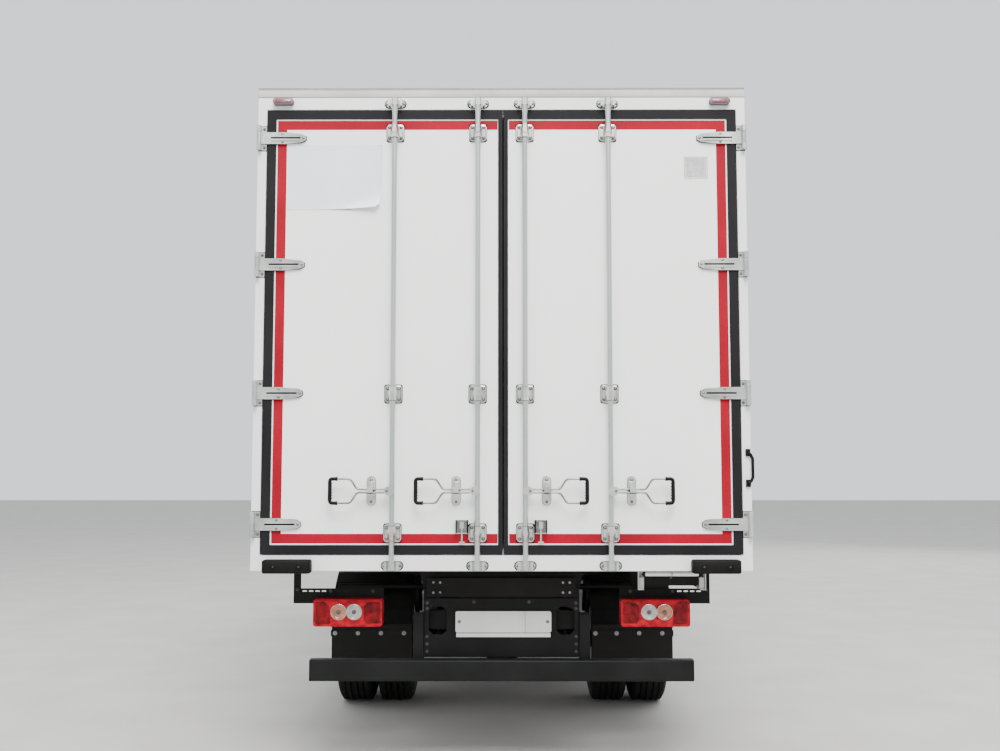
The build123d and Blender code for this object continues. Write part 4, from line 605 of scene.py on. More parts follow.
hinge_zs = [1.320 + 0.681 * row for row in range(4)]
rods = (0.124, 0.565)
guide_zs = (1.275, 1.997, 3.392)
handle_z = 1.493
rod_y = rear_face - 0.045
catch_offset = 0.111
hub_offset = 0.024
keeper_zs = (1.080 + 0.082 / 3, 3.550)
bolt_x, hinge_pad_x = 1.2632, 1.2745
strap_x = 1.149
strap_face = 0.014
strap_shadow = ((1.2, 0.034), (1.064, 0.0245), (1.038, 0.0115), (1.038, -0.0115), (1.064, -0.0245), (1.2, -0.034))
strap_screws = ((1.0545, 0.0), (1.165, 0.0212), (1.165, -0.0212))
shade_rim_proud = 0.0022
pad_proud = 0.0012
plate_proud = 0.0062
seal_lock = (0.204, 1.310)
screw_zinc = finish_of("screw_zinc", (0.12, 0.12, 0.12), (0.24, 0.24, 0.23), 0.3, metallic=0.85, scale=60)
wire_zinc = finish_of("wire_zinc", (0.15, 0.155, 0.15), (0.27, 0.28, 0.265), 0.3, metallic=0.85, scale=40)
print("hinges per door:", len(hinge_zs), "guides per lock bar:", len(guide_zs))

# %% [markdown]
# Each door gets its own screws, cover plates and dark sheets of painted shade. A guide is a saddle that the lock
# bar runs through: under it lie a rubber gasket and a cover plate, and the gasket shows as a thin dark rim round the
# plate whose dark is painted shade for the plate's shadow. A dark plate of painted shade shows round the saddle's
# foot, four screws hold its foot, and a thin dark ring at each end of the saddle is a painted shadow line. A catch
# is a long plate with a lip that the handle drops behind, with a rim of painted shade round it. The seal lock is a
# small box with dark edges. A hinge strap has a screw at the nose and one at each edge; a thin dark rim round it is
# its painted shadow, and a dark strip in its groove is painted shade.

# %% Screws, plates and gaskets of the door gear


def guide(gaskets_and_shade, covers, screws, x, z):
    """Adds what lies round one guide of a lock bar."""
    # painted shade: the dark rim round the cover plate stands for the plate's shadow, laid as a thin gasket
    face_plate(gaskets_and_shade, rounded(x, z, 0.097, 0.100, 0.013), shade_rim_proud)
    # painted shadow lines: a thin dark ring at each end of the saddle
    for dz in (-0.038, 0.0365):
        turned(gaskets_and_shade, (x, rod_y, z + dz), UP, [(0, 0.0143), (0, 0.0168), (0.0015, 0.0168), (0.0015, 0.0143)], 24)
    face_plate(covers, rounded(x, z, 0.086, 0.089, 0.010), plate_proud, 0.002, 0.001)
    for dx in (-0.0295, 0.0295):
        for dz in (-0.0275, 0.0275):
            turned(gaskets_and_shade, (x + dx, rear_face - 0.010, z + dz), REAR, [(0, 0.0088), (0.0006, 0.0085), (0.0006, 0.0)],
                   16)
            pan_head(screws, (x + dx, rear_face - 0.0105, z + dz), 0.0068)
    # painted shade: a dark plate that shows round the saddle's foot
    face_plate(gaskets_and_shade, rounded(x, z, 0.080, 0.076, 0.003), 0.0066, 0.006)


def catch(gaskets_and_shade, covers, screws, x):
    """Adds the catch of one handle."""
    # painted shade: a dark rim round the catch plate
    face_plate(gaskets_and_shade, rounded(x, handle_z, 0.048, 0.151, 0.0235), shade_rim_proud)
    face_plate(covers, rounded(x, handle_z, 0.0445, 0.1465, 0.0215), plate_proud, 0.002, 0.001)
    face_slab(gaskets_and_shade, span(x, 0.019), span(handle_z, 0.013), 0.0068, 0.006)
    face_slab(covers, span(x, 0.015), (handle_z + 0.015, handle_z + 0.019), 0.0735, 0.006, 0.001)
    face_slab(covers, span(x, 0.013), (handle_z + 0.019, handle_z + 0.048), 0.012, 0.006, 0.002)
    for dz in (-0.057, 0.057):
        pan_head(screws, (x, rear_face - 0.006, handle_z + dz), 0.0072)


for hand, side in HANDS:
    screws, gaskets_and_shade, covers, backs = meshes(4)
    for z in hinge_zs:
        # painted shade: a dark strip at the bottom of the strap's groove
        face_slab(gaskets_and_shade, span(side * strap_x, 0.079), span(z, 0.0043), strap_face + 0.0005, strap_face)
        # painted shadow: a dark rim a little bigger than the strap
        face_plate(gaskets_and_shade, [(side * x, z + dz) for x, dz in strap_shadow], shade_rim_proud)
        for x, dz in strap_screws:
            pan_head(screws, (side * x, rear_face - strap_face, z + dz), 0.0065)
    for rod in rods:
        for z in guide_zs:
            guide(gaskets_and_shade, covers, screws, side * rod, z)
        catch(gaskets_and_shade, covers, screws, side * (rod + catch_offset))
        hex_head(screws, (side * (rod + hub_offset), rear_face - 0.0722, handle_z), 0.011)
    lock_x, lock_z = side * seal_lock[0], seal_lock[1]
    face_slab(backs, span(lock_x, 0.0255), span(lock_z, 0.0325), 0.0056, 0.005)
    for dz in (-0.024, 0.024):
        for dx in (-0.018, 0.018):
            pan_head(screws, (lock_x + dx, rear_face - 0.005, lock_z + dz), 0.005)
    for dx in (-0.029, 0.029):
        face_slab(gaskets_and_shade, span(lock_x + dx, 0.0032), span(lock_z, 0.034), 0.0412, 0.0398, 0.0005)
        face_slab(gaskets_and_shade, span(lock_x + 1.10 * dx, 0.0006), span(lock_z, 0.034), 0.0398)
    door_piece(backs, hand, "lock_back", wire_zinc)
    door_piece(screws, hand, "screws", screw_zinc)
    door_piece(covers, hand, "cover_plates", zinc)
    door_piece(gaskets_and_shade, hand, "gaskets_and_shade", black_rubber)
frame_screws, frame_pads_and_shade = meshes(2)
for side in SIDES:
    for z in hinge_zs:
        for dz in (-0.050, 0.050):
            hex_head(frame_screws, (side * bolt_x, rear_face - 0.004, z + dz), 0.0085)
        # painted shadow: a dark pad a little bigger than each hinge leaf
        face_plate(frame_pads_and_shade, rounded(side * hinge_pad_x, z, 0.049, 0.137, 0.004), pad_proud)
    for rod in rods:
        for z in keeper_zs:
            face_plate(frame_pads_and_shade, rounded(side * rod, z, 0.118, 0.047, 0.0234), pad_proud)
            for dx in (-0.046, 0.046):
                pan_head(frame_screws, (side * rod + dx, rear_face - 0.008, z), 0.0075)
piece_from(frame_screws, "frame_screws", screw_zinc)
piece_from(frame_pads_and_shade, "frame_pads_and_shade", black_rubber)
print("screws per door:", len(hinge_zs) * 3 + len(rods) * (len(guide_zs) * 4 + 3) + 4)

# %% [markdown]
# The lock bars are drawn tube. A smooth sleeve, a tenth of a millimetre over the solid bar, gives the tube its
# round shine. The handles are bent wire, also sleeved, with a moulded rubber grip on the outer end, ribbed where
# the fingers go.

# %% Lock bars, handle wires and grips
wire_y = rear_face - 0.064
grip_x, grip_z = 0.318, 0.062
wire_half = ((0.026, 0.008), (0.178, 0.008), (0.212, grip_z), (grip_x, grip_z))
wire_outline = wire_half + tuple((x, -z) for x, z in wire_half[::-1])
grip_outline = ((-0.038, grip_z), (0, grip_z), (0, -grip_z), (-0.038, -grip_z))
for hand, side in HANDS:
    bars, wires, grips = meshes(3)
    for rod in rods:
        turned(bars, (side * rod, rod_y, 1.0895), UP, [(0, 0.0), (0, 0.0125), (0.0015, 0.0141), (2.4770, 0.0141),
                                                       (2.4785, 0.0125), (2.4785, 0.0)], 28)
        for z in guide_zs:
            turned(bars, (side * rod, rod_y, z - 0.062), UP,
                   [(0, 0.0142), (0, 0.0163), (0.009, 0.0163), (0.009, 0.0142)], 28)
        wire = [(side * (rod + x), wire_y, handle_z + z) for x, z in wire_outline]
        tube(wires, bend(wire, 0.014), 0.0052, 12)
        grip = [(side * (rod + grip_x + dx), wire_y, handle_z + z) for dx, z in grip_outline]
        tube(grips, bend(grip, 0.016), 0.0098, 14)
        for end_z in (grip_z, -grip_z):
            turned(grips, (side * (rod + grip_x - 0.040), wire_y, handle_z + end_z), (side, 0, 0),
                   [(0, 0.0), (0, 0.0108), (0.006, 0.0112), (0.008, 0.0095)], 14)
        for step in range(6):
            knuckle = (side * (rod + grip_x - 0.0055), wire_y, handle_z + 0.038 - 0.0152 * step)
            bmesh.ops.create_uvsphere(grips, u_segments=10, v_segments=6, radius=0.0078,
                                      matrix=Matrix.Translation(knuckle))
    door_piece(bars, hand, "bar_sleeves", rod_zinc)
    door_piece(wires, hand, "handle_wires", wire_zinc, 60)
    door_piece(grips, hand, "grips", black_plastic, 60)
print("grips:", len(HANDS) * len(rods))

# %% [markdown]
# The tyres carry ribs and blocks that the solids leave out. Each is turned from one profile: bead, side wall
# with two raised bands, shoulder, and a tread with four grooves. The shoulder ribs are cut across by lowering
# every third row of points, which gives blocks.

# %% Tyres
tyre_rubber = finish_of(
    "tyre_rubber", (0.007, 0.007, 0.007), (0.014, 0.013, 0.011), 0.75, scale=7, grain=160, bump=0.06, specular=0.2)
tyre_radius = 0.419
tyre_half = 0.124
half_tread = 0.094
groove_depth = 0.013
block_cut = 0.009
side_wall = [(-0.083, 0.2485), (-0.086, 0.262), (-0.100, 0.280), (-0.1165, 0.304), (-0.1185, 0.306),
             (-tyre_half, 0.330), (-tyre_half, 0.345), (-0.1205, 0.348), (-0.1195, 0.362), (-0.115, 0.384),
             (-0.107, 0.401), (-0.104, 0.4035)]


def on_wheel(centre, x, radius, angle):
    """A point of a wheel: along its axle by x, then out by a radius at an angle."""
    return Vector(centre) + Vector((x, radius * math.cos(angle), radius * math.sin(angle)))


def tyre(bm, centre, segments=180):
    """Adds one tyre whose axle lies along X."""
    radius, deep = tyre_radius, tyre_radius - groove_depth
    shoulder = [(-half_tread - 0.004, radius - 0.005), (-half_tread, radius - 0.001), (-0.066, radius)]
    ribs = []
    for groove in (-0.060, -0.022, 0.022, 0.060):
        ribs += [(groove - 0.006, radius), (groove - 0.004, deep), (groove + 0.004, deep), (groove + 0.006, radius)]
    left = side_wall + shoulder
    profile = left + ribs + [(-x, r) for x, r in reversed(left)] + [(0.0, 0.2485), side_wall[0]]
    rings = []
    for x, r in profile:
        ring = []
        for step in range(segments):
            cut = step % 3 == 0 and abs(x) > 0.064 and r > radius - 0.006
            here = r - block_cut if cut else r
            ring.append(bm.verts.new(on_wheel(centre, x, here, 2 * math.pi * step / segments)))
        rings.append(ring)
    joined(bm, rings)
    bmesh.ops.remove_doubles(bm, verts=bm.verts, dist=1e-6)


for end in ("front", "rear"):
    for hand, side in HANDS:
        node = f"wheel_{end}_{hand}_tyre"
        low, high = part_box(node)
        rubber = bmesh.new()
        centres = [(low.x + high.x) / 2] if end == "front" else [low.x + tyre_half, high.x - tyre_half]
        for x in centres:
            tyre(rubber, (x, (low.y + high.y) / 2, tyre_radius))
        made = piece_from(rubber, f"{node}_tread", tyre_rubber, f"wheel_{end}_{hand}", 35)
        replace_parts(made, node)
print("tyres: 6, tread", groove_depth * 1000, "mm deep")

# %% [markdown]
# A pressed steel rim has a round well, a dished disc with eight hand holes, and a ring of ten nuts. The well and
# the flat of the disc are turned. The dish is laid out hole by hole: each sector joins a round hole to its own
# four-sided border, so that the holes are clean circles in a smooth cone. The rear wheels are twins with their
# dishes face to face, and only the outer one has holes. These stand in for the many-sided solid rims.

# %% Rims
RIM_WELL = ((-0.097, 0.262), (-0.0865, 0.262), (-0.0845, 0.2475), (0.0845, 0.2475), (0.0865, 0.262), (0.097, 0.262),
            (0.097, 0.2545), (0.0845, 0.240), (-0.0845, 0.240), (-0.097, 0.2545), (-0.097, 0.262))
HOLED_FLAT = ((0.1375, 0.168), (0.1375, 0.084), (0.1285, 0.084), (0.1285, 0.168))
WHOLE_DISH = ((0.0475, 0.243), (0.0565, 0.243), (0.1375, 0.168), (0.1375, 0.084), (0.1285, 0.084), (0.1285, 0.159),
              (0.0475, 0.234), (0.0475, 0.243))


def holed_cone(bm, centre, out, start, end, count, hole_radius, thick):
    """Adds a cone between two (X, radius) pairs, with a row of round holes and a wall in each."""
    length = math.hypot(end[0] - start[0], end[1] - start[1])
    middle_radius = (start[1] + end[1]) / 2
    samples = 32

    def point(angle, share, depth):
        x = start[0] + (end[0] - start[0]) * share - depth
        radius = start[1] + (end[1] - start[1]) * share
        return bm.verts.new(on_wheel(centre, out * x, radius, angle))

    for sector in range(count):
        mid_angle = 2 * math.pi * sector / count
        half = math.pi / count
        holes = []
        for depth in (0.0, thick):
            border, hole = [], []
            for sample in range(samples):
                turn = 2 * math.pi * sample / samples + math.pi / 4
                along, across = math.cos(turn), math.sin(turn)
                stretch = 1 / max(abs(along), abs(across))
                border.append(point(mid_angle + half * along * stretch, 0.5 + 0.5 * across * stretch, depth))
                hole.append(point(mid_angle + hole_radius * along / middle_radius,
                                  0.5 + hole_radius * across / length, depth))
            holes.append(hole)
            joined(bm, [border, hole])
        joined(bm, holes)


def pressed_rim(bm, centre, out, holes):
    """Adds one rim. The disc stands out towards `out` along X."""
    turned(bm, centre, (out, 0, 0), RIM_WELL, 72)
    if holes:
        holed_cone(bm, centre, out, (0.0565, 0.243), (0.1375, 0.168), 8, 0.024, 0.009)
    turned(bm, centre, (out, 0, 0), HOLED_FLAT if holes else WHOLE_DISH, 72)


wheel_parts = {
    "front": (0.980, ((0.0, 1, True),), 0.1375, ((-0.054, 0.090), (0.1165, 0.090), (0.1165, 0.160), (0.1285, 0.160),
                                                 (0.1285, 0.084), (0.1415, 0.084), (0.1555, 0.066), (0.1555, 0.0))),
    "rear": (0.870, ((-0.1375, 1, False), (0.1375, -1, True)), 0.009,
             ((-0.190, 0.196), (-0.040, 0.196), (-0.040, 0.160), (-0.009, 0.160), (-0.009, 0.084), (0.150, 0.084),
              (0.200, 0.070), (0.200, 0.0))),
}
NUT = ((0, 0.019), (0.004, 0.019), (0.005, 0.0165), (0.022, 0.0165), (0.024, 0.013), (0.024, 0.0))
STUD = ((0.024, 0.010), (0.032, 0.0095), (0.032, 0.0))
nut_circle = 0.126
hub_grey = finish_of("hub_grey", (0.10, 0.10, 0.10), (0.16, 0.155, 0.15), 0.5, metallic=0.4, scale=15)
for end, (place_x, rim_rows, disc_x, hub_steps) in wheel_parts.items():
    for hand, side in HANDS:
        node = f"wheel_{end}_{hand}_rim"
        body = f"wheel_{end}_{hand}"
        low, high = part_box(node)
        middle_y = (low.y + high.y) / 2
        rims, hub = meshes(2)
        for offset, out, holes in rim_rows:
            pressed_rim(rims, (side * (place_x + offset), middle_y, tyre_radius), side * out, holes)
        bmesh.ops.remove_doubles(rims, verts=rims.verts, dist=1e-5)
        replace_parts(piece_from(rims, f"{node}_pressed", rim_silver, body, 35), node)
        centre = (side * place_x, middle_y, tyre_radius)
        turned(hub, centre, (side, 0, 0), hub_steps, 48)
        for step in range(10):
            nut = on_wheel(centre, side * disc_x, nut_circle, 2 * math.pi * step / 10)
            turned(hub, nut, (side, 0, 0), NUT, 6)
            turned(hub, nut, (side, 0, 0), STUD, 12)
        piece_from(hub, f"{body}_hub", hub_grey, body, 35)
print("rims: 6")

# %% [markdown]
# Each tail lamp is a red lens with two round inserts side by side, amber and clear. On the truck, an insert is a
# bulb in a shallow dish behind a domed cover. Here, the dish rises to the dome, with the grey bulb at its tip.
# The ends of the lens are darker reflectors with a slanted border. The marker lamps at the top corners have a
# grey oval base and a pinkish-red lens.

# %% Lamps
lens_red = finish_of(
    "lens_red", (0.22, 0.0003, 0.005), (0.50, 0.001, 0.012), 0.3, scale=26, grain=120, bump=0.2, stretch=(1, 1, 1.6),
    specular=0.2)
lens_dark = finish_of(
    "lens_dark", (0.06, 0.0003, 0.002), (0.24, 0.0006, 0.006), 0.3, scale=40, grain=150, bump=0.3, specular=0.2)
lens_amber = finish_of(
    "lens_amber", (0.30, 0.095, 0.045), (0.46, 0.19, 0.105), 0.16, scale=40, grain=200, bump=0.2, coat=0.5)
lens_clear = finish_of(
    "lens_clear", (0.27, 0.26, 0.24), (0.44, 0.43, 0.41), 0.14, scale=40, grain=200, bump=0.2, coat=0.5)
chrome_ring = finish_of("chrome_ring", (0.46, 0.43, 0.39), (0.60, 0.57, 0.53), 0.18, metallic=0.85, scale=20)
bulb_grey = finish_of("bulb_grey", (0.06, 0.05, 0.05), (0.12, 0.11, 0.10), 0.3, metallic=0.4, scale=80)
marker_lens = finish_of("marker_lens", (0.17, 0.040, 0.046), (0.27, 0.09, 0.10), 0.25, scale=60, coat=0.3)
marker_base = finish_of("marker_base", (0.085, 0.080, 0.098), (0.13, 0.12, 0.145), 0.5, scale=30)
dress(lens_red, "rear_lamps")
eased(0.003, "rear_lamps")
tail_back = -3.685
lamp_x = 0.825
lamp_middle = 0.8435
insert_radius = 0.0395
marker_x, marker_z = 1.163, 3.560
DISH = ((0.0, 1.0), (0.004, 1.0), (0.005, 0.93), (0.002, 0.86), (0.0015, 0.3), (0.006, 0.22), (0.008, 0.0))
BEZEL = ((0.0, 1.07), (0.005, 1.07), (0.006, 1.0), (0.003, 0.97))
BULB = ((0, 0.0115), (0.002, 0.010), (0.003, 0.0))
ZONES = (((0.918, 0.780), (0.996, 0.780), (0.996, 0.897), (0.950, 0.897), (0.924, 0.872)),
         ((0.652, 0.784), (0.724, 0.784), (0.738, 0.812), (0.738, 0.872), (0.718, 0.894), (0.652, 0.894)))
bulbs, zones, lens_frame, base, oval = meshes(5)
for hand, side in HANDS:
    for kind, x, finish in (("amber", 0.873, lens_amber), ("clear", 0.790, lens_clear)):
        for suffix, profile, look in (("", DISH, finish), ("_ring", BEZEL, chrome_ring)):
            insert = bmesh.new()
            turned(insert, (side * x, tail_back, lamp_middle), REAR, [(a, r * insert_radius) for a, r in profile], 40)
            piece_from(insert, f"tail_lamp_{hand}_{kind}{suffix}", look, "chassis", 50)
        turned(bulbs, (side * x, tail_back - 0.0075, lamp_middle), REAR, BULB, 16)
    for zone in ZONES:
        outline = [(side * x, z) for x, z in zone[::side]]
        plate(zones, outline, tail_back - 0.0025, tail_back + 0.001, 0.001)
    for z in (0.7735, 0.9015):
        slab(lens_frame, (side * lamp_x - 0.178, tail_back - 0.002, z - 0.003),
             (side * lamp_x + 0.178, tail_back + 0.001, z + 0.003), 0.001)
    face_plate(base, rounded(side * marker_x, marker_z, 0.112, 0.036, 0.0179, 8), 0.0305, 0.0002, 0.004)
    face_plate(oval, rounded(side * marker_x, marker_z, 0.086, 0.019, 0.0094, 8), 0.0345, 0.029, 0.003)
piece_from(bulbs, "tail_lamp_bulbs", bulb_grey)
piece_from(zones, "tail_lamp_zones", lens_dark)
piece_from(lens_frame, "tail_lamp_rims", lens_red)
piece_from(base, "marker_bases", marker_base)
piece_from(oval, "marker_lenses", marker_lens)
print("lamp inserts:", 4)

# %% [markdown]
# The number plate is a bare white pressed plate in a black holder, held by two screws, with an empty strip
# under it. A fine line divides it, as on many plates.

# %% Number plate
plate_white = finish_of("plate_white", (0.60, 0.60, 0.59), (0.66, 0.66, 0.65), 0.35, scale=8, coat=0.3)
panel_face = -3.581
plate_x = 0.010
holder, sheet, marks, plate_screws = meshes(4)
plate(holder, rounded(plate_x, 0.768, 0.536, 0.148, 0.006), panel_face - 0.005, panel_face, 0.0015)
piece_from(holder, "plate_holder", black_plastic)
plate(sheet, rounded(plate_x, 0.779, 0.520, 0.114, 0.010), panel_face - 0.0075, panel_face - 0.005, 0.0012)
plate(sheet, rounded(plate_x, 0.708, 0.512, 0.020, 0.002), panel_face - 0.0065, panel_face - 0.005, 0.0005)
piece_from(sheet, "number_plate", plate_white)
slab(marks, (plate_x + 0.117, panel_face - 0.0080, 0.722), (plate_x + 0.119, panel_face - 0.0074, 0.836))
piece_from(marks, "number_plate_line", black_plastic)
for dx in (-0.24, 0.24):
    pan_head(plate_screws, (plate_x + dx, panel_face - 0.0075, 0.781), 0.0085)
piece_from(plate_screws, "number_plate_screws", screw_zinc)
print("plate 520 mm wide, bare")

# %% [markdown]
# The flaps hang from their clamp bars on four bolts each. The buffers, the cross bar, the plate panel and the
# brackets have their own bolts, which catch the light against the black. The buffers are moulded rubber with
# round shoulders, and their bolts sit in low collars.

# %% Bolts under the body
dark_steel = finish_of("dark_steel", (0.03, 0.03, 0.03), (0.06, 0.058, 0.055), 0.4, metallic=0.6, scale=50)
flap_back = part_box("mud_flaps")[0].y
flap_bolt_z = 0.520
bracket_back = -3.595
bolts, dark_bolts, wells, blocks = meshes(4)
for side, xs in ((-1, (1.117, 0.964, 0.810, 0.656)), (1, (0.624, 0.765, 0.916, 1.070))):
    for x in xs:
        turned(bolts, (side * x, flap_back, flap_bolt_z), REAR, [(0, 0.0145), (0.002, 0.0145), (0.002, 0.0)], 20)
        hex_head(bolts, (side * x, flap_back - 0.002, flap_bolt_z), 0.012)
collar = 0.0035
buffer_x, buffer_z = 1.102, 1.107
buffer_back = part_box("corner_buffers")[0].y + collar
for side in SIDES:
    face_slab(blocks, span(side * buffer_x, 0.124), span(buffer_z, 0.035), rear_face - buffer_back, 0.0005, 0.010)
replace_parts(piece_from(blocks, "moulded_buffers", black_rubber, "chassis", 60), "corner_buffers")
for side in SIDES:
    for dx in (-0.066, 0.066):
        x = side * buffer_x + dx
        turned(wells, (x, buffer_back, buffer_z), REAR,
               [(0, 0.018), (0.002, 0.017), (0.003, 0.015), (0.003, 0.013), (0.0, 0.0125)], 24)
        hex_head(dark_bolts, (x, buffer_back + 0.0038, buffer_z), 0.010)
    for x, z in ((0.372, 0.936), (0.372, 0.990), (0.335, 0.936), (0.335, 0.990)):
        hex_head(bolts, (side * x, panel_face, z), 0.0065)
    for x, z in ((0.405, 0.880), (0.405, 0.850), (0.405, 0.700), (0.405, 0.660), (0.405, 0.620), (0.150, 0.885)):
        hex_head(dark_bolts, (side * x, panel_face, z), 0.009)
    for x, z, radius in ((0.700, 0.945, 0.009), (0.930, 0.945, 0.009), (1.112, 0.952, 0.008), (1.112, 1.050, 0.008)):
        hex_head(dark_bolts, (side * x, bracket_back, z), radius)
piece_from(wells, "buffer_wells", black_rubber)
piece_from(bolts, "underbody_bolts", wire_zinc)
piece_from(dark_bolts, "underbody_dark_bolts", dark_steel)
print("flap bolts: 8")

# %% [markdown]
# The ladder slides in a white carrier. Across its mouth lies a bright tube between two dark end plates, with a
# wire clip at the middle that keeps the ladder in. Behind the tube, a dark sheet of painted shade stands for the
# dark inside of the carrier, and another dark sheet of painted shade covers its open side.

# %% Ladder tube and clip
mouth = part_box("step_ladder")[0].y
carrier_end = -2.8255
tube_z = 1.052
cross, ends, clip = meshes(3)
tube(cross, [(0.760, mouth + 0.014, tube_z), (1.042, mouth + 0.014, tube_z)], 0.0125, 20)
piece_from(cross, "ladder_tube", aluminium)
for x, bolt_x in ((0.757, 0.747), (1.045, 1.055)):
    slab(ends, (x - 0.004, mouth + 0.002, 1.037), (x + 0.004, mouth + 0.040, 1.070), 0.001)
    hex_head(ends, (bolt_x, mouth + 0.001, tube_z), 0.007)
# painted shade: a dark sheet behind the tube stands for the dark inside of the carrier
slab(ends, (0.7565, mouth + 0.030, 0.9905), (1.0455, mouth + 0.032, 1.0385))
# painted shade: a dark sheet over the carrier's open side
slab(ends, (0.7203, mouth + 0.030, 0.9705), (0.7219, carrier_end, 1.0795))
piece_from(ends, "ladder_ends_and_painted_shade", black_plastic)
clip_path = ((0.901, 0.006, 1.074), (0.901, -0.004, 1.066), (0.901, -0.006, 1.050), (0.896, -0.004, 1.034),
             (0.890, 0.006, 1.030))
tube(clip, bend([(x, mouth + dy, z) for x, dy, z in clip_path], 0.004, 3), 0.0022, 8)
piece_from(clip, "ladder_clip", screw_zinc, "chassis", 60)
print("ladder mouth at", round(mouth, 3))

# %% [markdown]
# The front follows what trucks of this kind have: wipers at the foot of the windscreen, bright mirror glass on
# the mirrors' rear faces, and a dark ribbed screen behind the grille, which keeps leaves off the radiator.

# %% Cab fittings
mirror_glass = finish_of(
    "mirror_glass", (0.60, 0.64, 0.66), (0.66, 0.70, 0.72), 0.06, metallic=0.95, scale=3, bump=0.0, spread=0.02)
mirror_x, mirror_back = 1.262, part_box("mirrors")[0].y
faces, wipers, screen = meshes(3)
for side in SIDES:
    for z, height in ((2.255, 0.300), (1.990, 0.150)):
        plate(faces, rounded(side * mirror_x, z, 0.120, height, 0.012), mirror_back - 0.002, mirror_back + 0.001, 0.001)
piece_from(faces, "mirror_faces", mirror_glass, "cab")
screen_y = 3.925
for start_x, tip_x in ((-0.62, -0.08), (0.10, 0.64)):
    foot = Vector((start_x, screen_y + 0.012, 1.742))
    tip = Vector((tip_x, screen_y - 0.008, 1.800))
    tube(wipers, [foot, foot.lerp(tip, 0.5) + Vector((0, 0.012, 0.02)), tip], 0.006, 8)
    blade_end = tip + (tip - foot) * 0.25 + Vector((0, 0.0, 0.006))
    tube(wipers, [foot.lerp(tip, 0.35) + Vector((0, 0.004, 0.012)), blade_end], 0.005, 6)
    turned(wipers, foot, FRONT, [(-0.02, 0.020), (0.012, 0.020), (0.016, 0.012), (0.016, 0.0)], 16)
piece_from(wipers, "wipers", black_plastic, "cab", 60)
grille_low, grille_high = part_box("grille")
screen_z = (grille_low.z + 0.01, grille_high.z - 0.01)
slab(screen, (grille_low.x + 0.02, grille_low.y - 0.004, screen_z[0]),
     (grille_high.x - 0.02, grille_low.y - 0.002, screen_z[1]))
for step in range(21):
    x = grille_low.x + 0.04 + (grille_high.x - grille_low.x - 0.08) * step / 20
    slab(screen, (x - 0.002, grille_low.y - 0.002, screen_z[0]), (x + 0.002, grille_low.y + 0.003, screen_z[1]))
piece_from(screen, "grille_screen", black_plastic, "cab")
print("wipers: 2")

# %% [markdown]
# Each headlamp has two round reflectors and a narrow amber turn lamp in a dark housing. They are laid out flat,
# then turned to the slant of the bumper's corner. The handle of each cab door is a softened block.

# %% Door handles and headlamps
slant = math.atan2(0.085, 0.272)
reflector_xs = (0.068, 0.176)
lamp_corner = (0.760, 3.986, 0.650)
REFLECTOR = ((0, 0.052), (0.008, 0.052), (0.0085, 0.049), (0.004, 0.036), (0.001, 0.014), (0.001, 0.0))
for hand, side in HANDS:
    pull, housing, dish, bulb, turn_lamp = meshes(5)
    x_ends = span(side * 1.134, 0.0125)
    slab(pull, (x_ends[0], 2.963, 1.4685), (x_ends[1], 3.127, 1.5015), 0.007)
    piece_from(pull, f"cab_door_{hand}_handle", black_plastic, f"cab_door_{hand}", 60)
    plate(housing, rounded(side * 0.138, 0, 0.264, 0.168, 0.014), 0.001, -0.002, 0.0005)
    for x in reflector_xs:
        turned(dish, (side * x, 0.001, 0), FRONT, REFLECTOR, 40)
        turned(bulb, (side * x, 0.002, 0), FRONT, [(0, 0.012), (0.003, 0.011), (0.005, 0.0)], 20)
    x_ends = span(side * 0.2515, 0.0105)
    slab(turn_lamp, (x_ends[0], 0.0005, -0.070), (x_ends[1], 0.003, 0.070), 0.001)
    corner = Matrix.Translation((side * lamp_corner[0], *lamp_corner[1:])) @ Matrix.Rotation(-side * slant, 4, "Z")
    for kind, part, finish, slot in (("housing", housing, black_plastic, "black_plastic"),
                                     ("dish", dish, chrome_ring, "lamp_clear"),
                                     ("bulb", bulb, lamp_clear, "lamp_clear"),
                                     ("turn", turn_lamp, lens_amber, "lamp_clear")):
        bmesh.ops.transform(part, matrix=corner, verts=part.verts)
        piece_from(part, f"headlamp_{hand}_{kind}", finish, "chassis", 45)
print("reflectors:", len(HANDS) * len(reflector_xs))

# %% [markdown]
# The seats are foam under cloth. Each pad starts a little smaller than the space it may fill. It is remeshed
# evenly, then blown up as cloth with a soft cap on how far a point may go, so that it crowns between its corners
# and the sides pull in. Sewn channels are pressed in afterwards by a smooth function of the distance to each
# seam. The passenger's pads are copies of the driver's.

# %% Tools for seats
seat_cloth = finish_of("seat_cloth", (0.052, 0.055, 0.064), (0.066, 0.069, 0.080), 0.85, scale=14, grain=300, bump=0.1)
weave = laid_over(seat_cloth, "TexWave", 260.0, "OVERLAY", 0.12)
weave.inputs["Distortion"].default_value = 1.5
swell_cap = 0.036
crown_room = 0.026
blown_frames = 20


def smoothed(mesh, rounds):
    """Evens out a mesh: in each round, a point moves halfway to the middle of its neighbours."""
    bm = bmesh.new()
    bm.from_mesh(mesh)
    for _ in range(rounds):
        bmesh.ops.smooth_vert(bm, verts=bm.verts, factor=0.5, use_axis_x=True, use_axis_y=True, use_axis_z=True)
    bm.to_mesh(mesh)
    bm.free()


def as_seen(pad):
    """A new mesh of what a pad looks like after its modifiers."""
    graph = bpy.context.evaluated_depsgraph_get()
    return bpy.data.meshes.new_from_object(pad.evaluated_get(graph), depsgraph=graph)


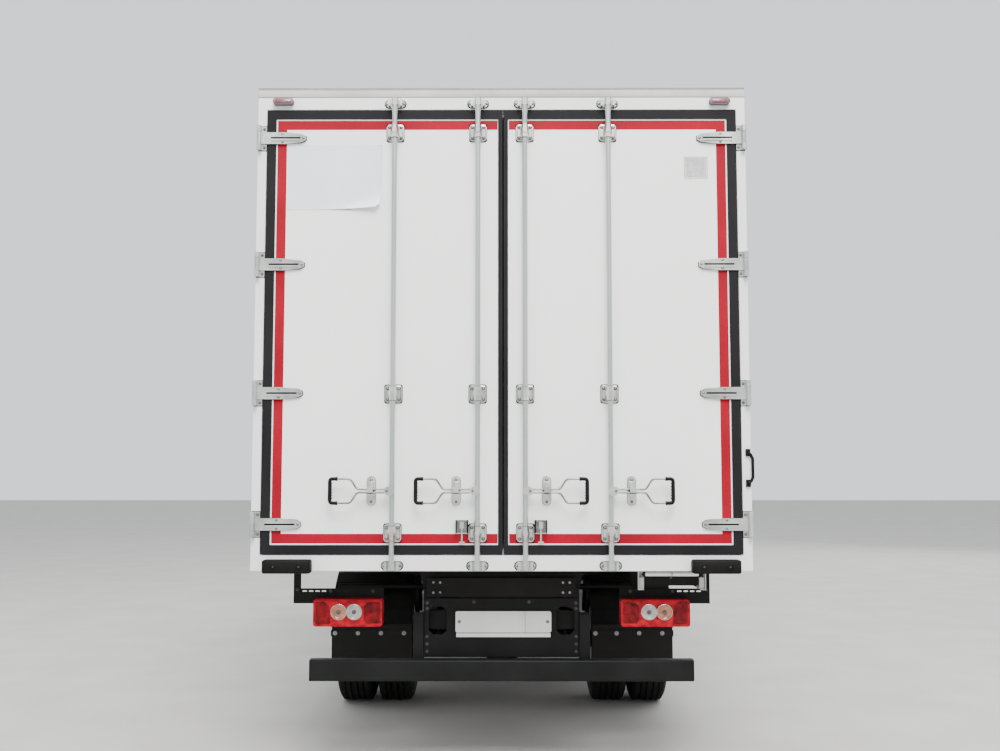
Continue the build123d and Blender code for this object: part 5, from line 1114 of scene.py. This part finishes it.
def blown_pad(name, low, high, flat_axis):
    """A cushion blown up as cloth inside a box. Its low side stays flat, where the seat frame carries it."""
    low, high = Vector(low), Vector(high)
    start_low, start_high = low + Vector((0.003, 0.003, 0.003)), high - Vector((0.003, 0.003, 0.003))
    start_high[flat_axis] = high[flat_axis] - crown_room
    start = bmesh.new()
    slab(start, start_low, start_high, 0.026)
    mesh = bpy.data.meshes.new(name)
    start.to_mesh(mesh)
    start.free()
    pad = bpy.data.objects.new(name, mesh)
    bpy.context.collection.objects.link(pad)
    remesh = pad.modifiers.new("even", "REMESH")
    remesh.mode = "VOXEL"
    remesh.voxel_size = 0.010
    even = as_seen(pad)
    pad.modifiers.clear()
    smoothed(even, 6)
    pad.data = even
    rest = [vert.co.copy() for vert in even.vertices]
    cloth = pad.modifiers.new("cloth", "CLOTH")
    cloth.settings.quality = 4
    cloth.settings.use_pressure = True
    cloth.settings.uniform_pressure_force = 4.0
    cloth.settings.effector_weights.gravity = 0.0
    cloth.point_cache.frame_start = 1
    cloth.point_cache.frame_end = blown_frames
    for number in range(1, blown_frames + 1):
        bpy.context.scene.frame_set(number)
    blown = as_seen(pad)
    bpy.context.scene.frame_set(1)
    bpy.data.objects.remove(pad)
    for vert, home in zip(blown.vertices, rest):
        moved = vert.co - home
        place = home + moved * (swell_cap / (swell_cap + moved.length))
        for axis in range(3):
            place[axis] = min(max(place[axis], low[axis] + 0.001), high[axis] - 0.0005)
        vert.co = place
    smoothed(blown, 4)
    return blown


def sewn(mesh, axis, places, toward, depth=0.008, reach=0.010):
    """Presses sewn channels into the face that looks along `toward`, at the given places on another axis."""
    lean = [vert.normal[toward] for vert in mesh.vertices]
    for vert, facing in zip(mesh.vertices, lean):
        for place in places:
            near = math.exp(-(((vert.co[axis] - place) / reach) ** 2))
            vert.co[toward] -= depth * near * max(0.0, facing)


print("a point may swell by up to", swell_cap * 1000, "mm")

# %% [markdown]
# The driver's cushion and backrest fill the boxes of the solid pads. The cushion has two seams along it and one
# across, and the backrest two upright seams and three across it.

# %% Seats
seat_x = 0.765
cushion = blown_pad("cushion", (-1.015, 2.606, 1.450), (-0.515, 3.105, 1.570), 2)
sewn(cushion, 0, span(-seat_x, 0.150), 2)
sewn(cushion, 1, (2.90,), 2)
backrest = blown_pad("backrest", (-1.005, 2.485, 1.450), (-0.525, 2.605, 2.180), 1)
sewn(backrest, 0, span(-seat_x, 0.140), 1)
sewn(backrest, 2, (1.64, 1.83, 2.00), 1)
pads = []
for hand, side in HANDS:
    for kind, source in (("cushion", cushion), ("backrest", backrest)):
        mesh = source.copy()
        if side > 0:
            mesh.transform(Matrix.Translation((2 * seat_x, 0, 0)))
        mesh.materials.clear()
        mesh.materials.append(seat_cloth)
        mesh.shade_smooth()
        pad = bpy.data.objects.new(f"seat_{hand}_{kind}", mesh)
        bpy.context.collection.objects.link(pad)
        finer = pad.modifiers.new("finer", "SUBSURF")
        finer.levels = 1
        finer.render_levels = 1
        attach(pad, "cab")
        pads.append(pad)
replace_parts(pads[0], "seat_pads")
print("pads:", len(pads), "points each:", [len(pad.data.vertices) for pad in pads[:2]])
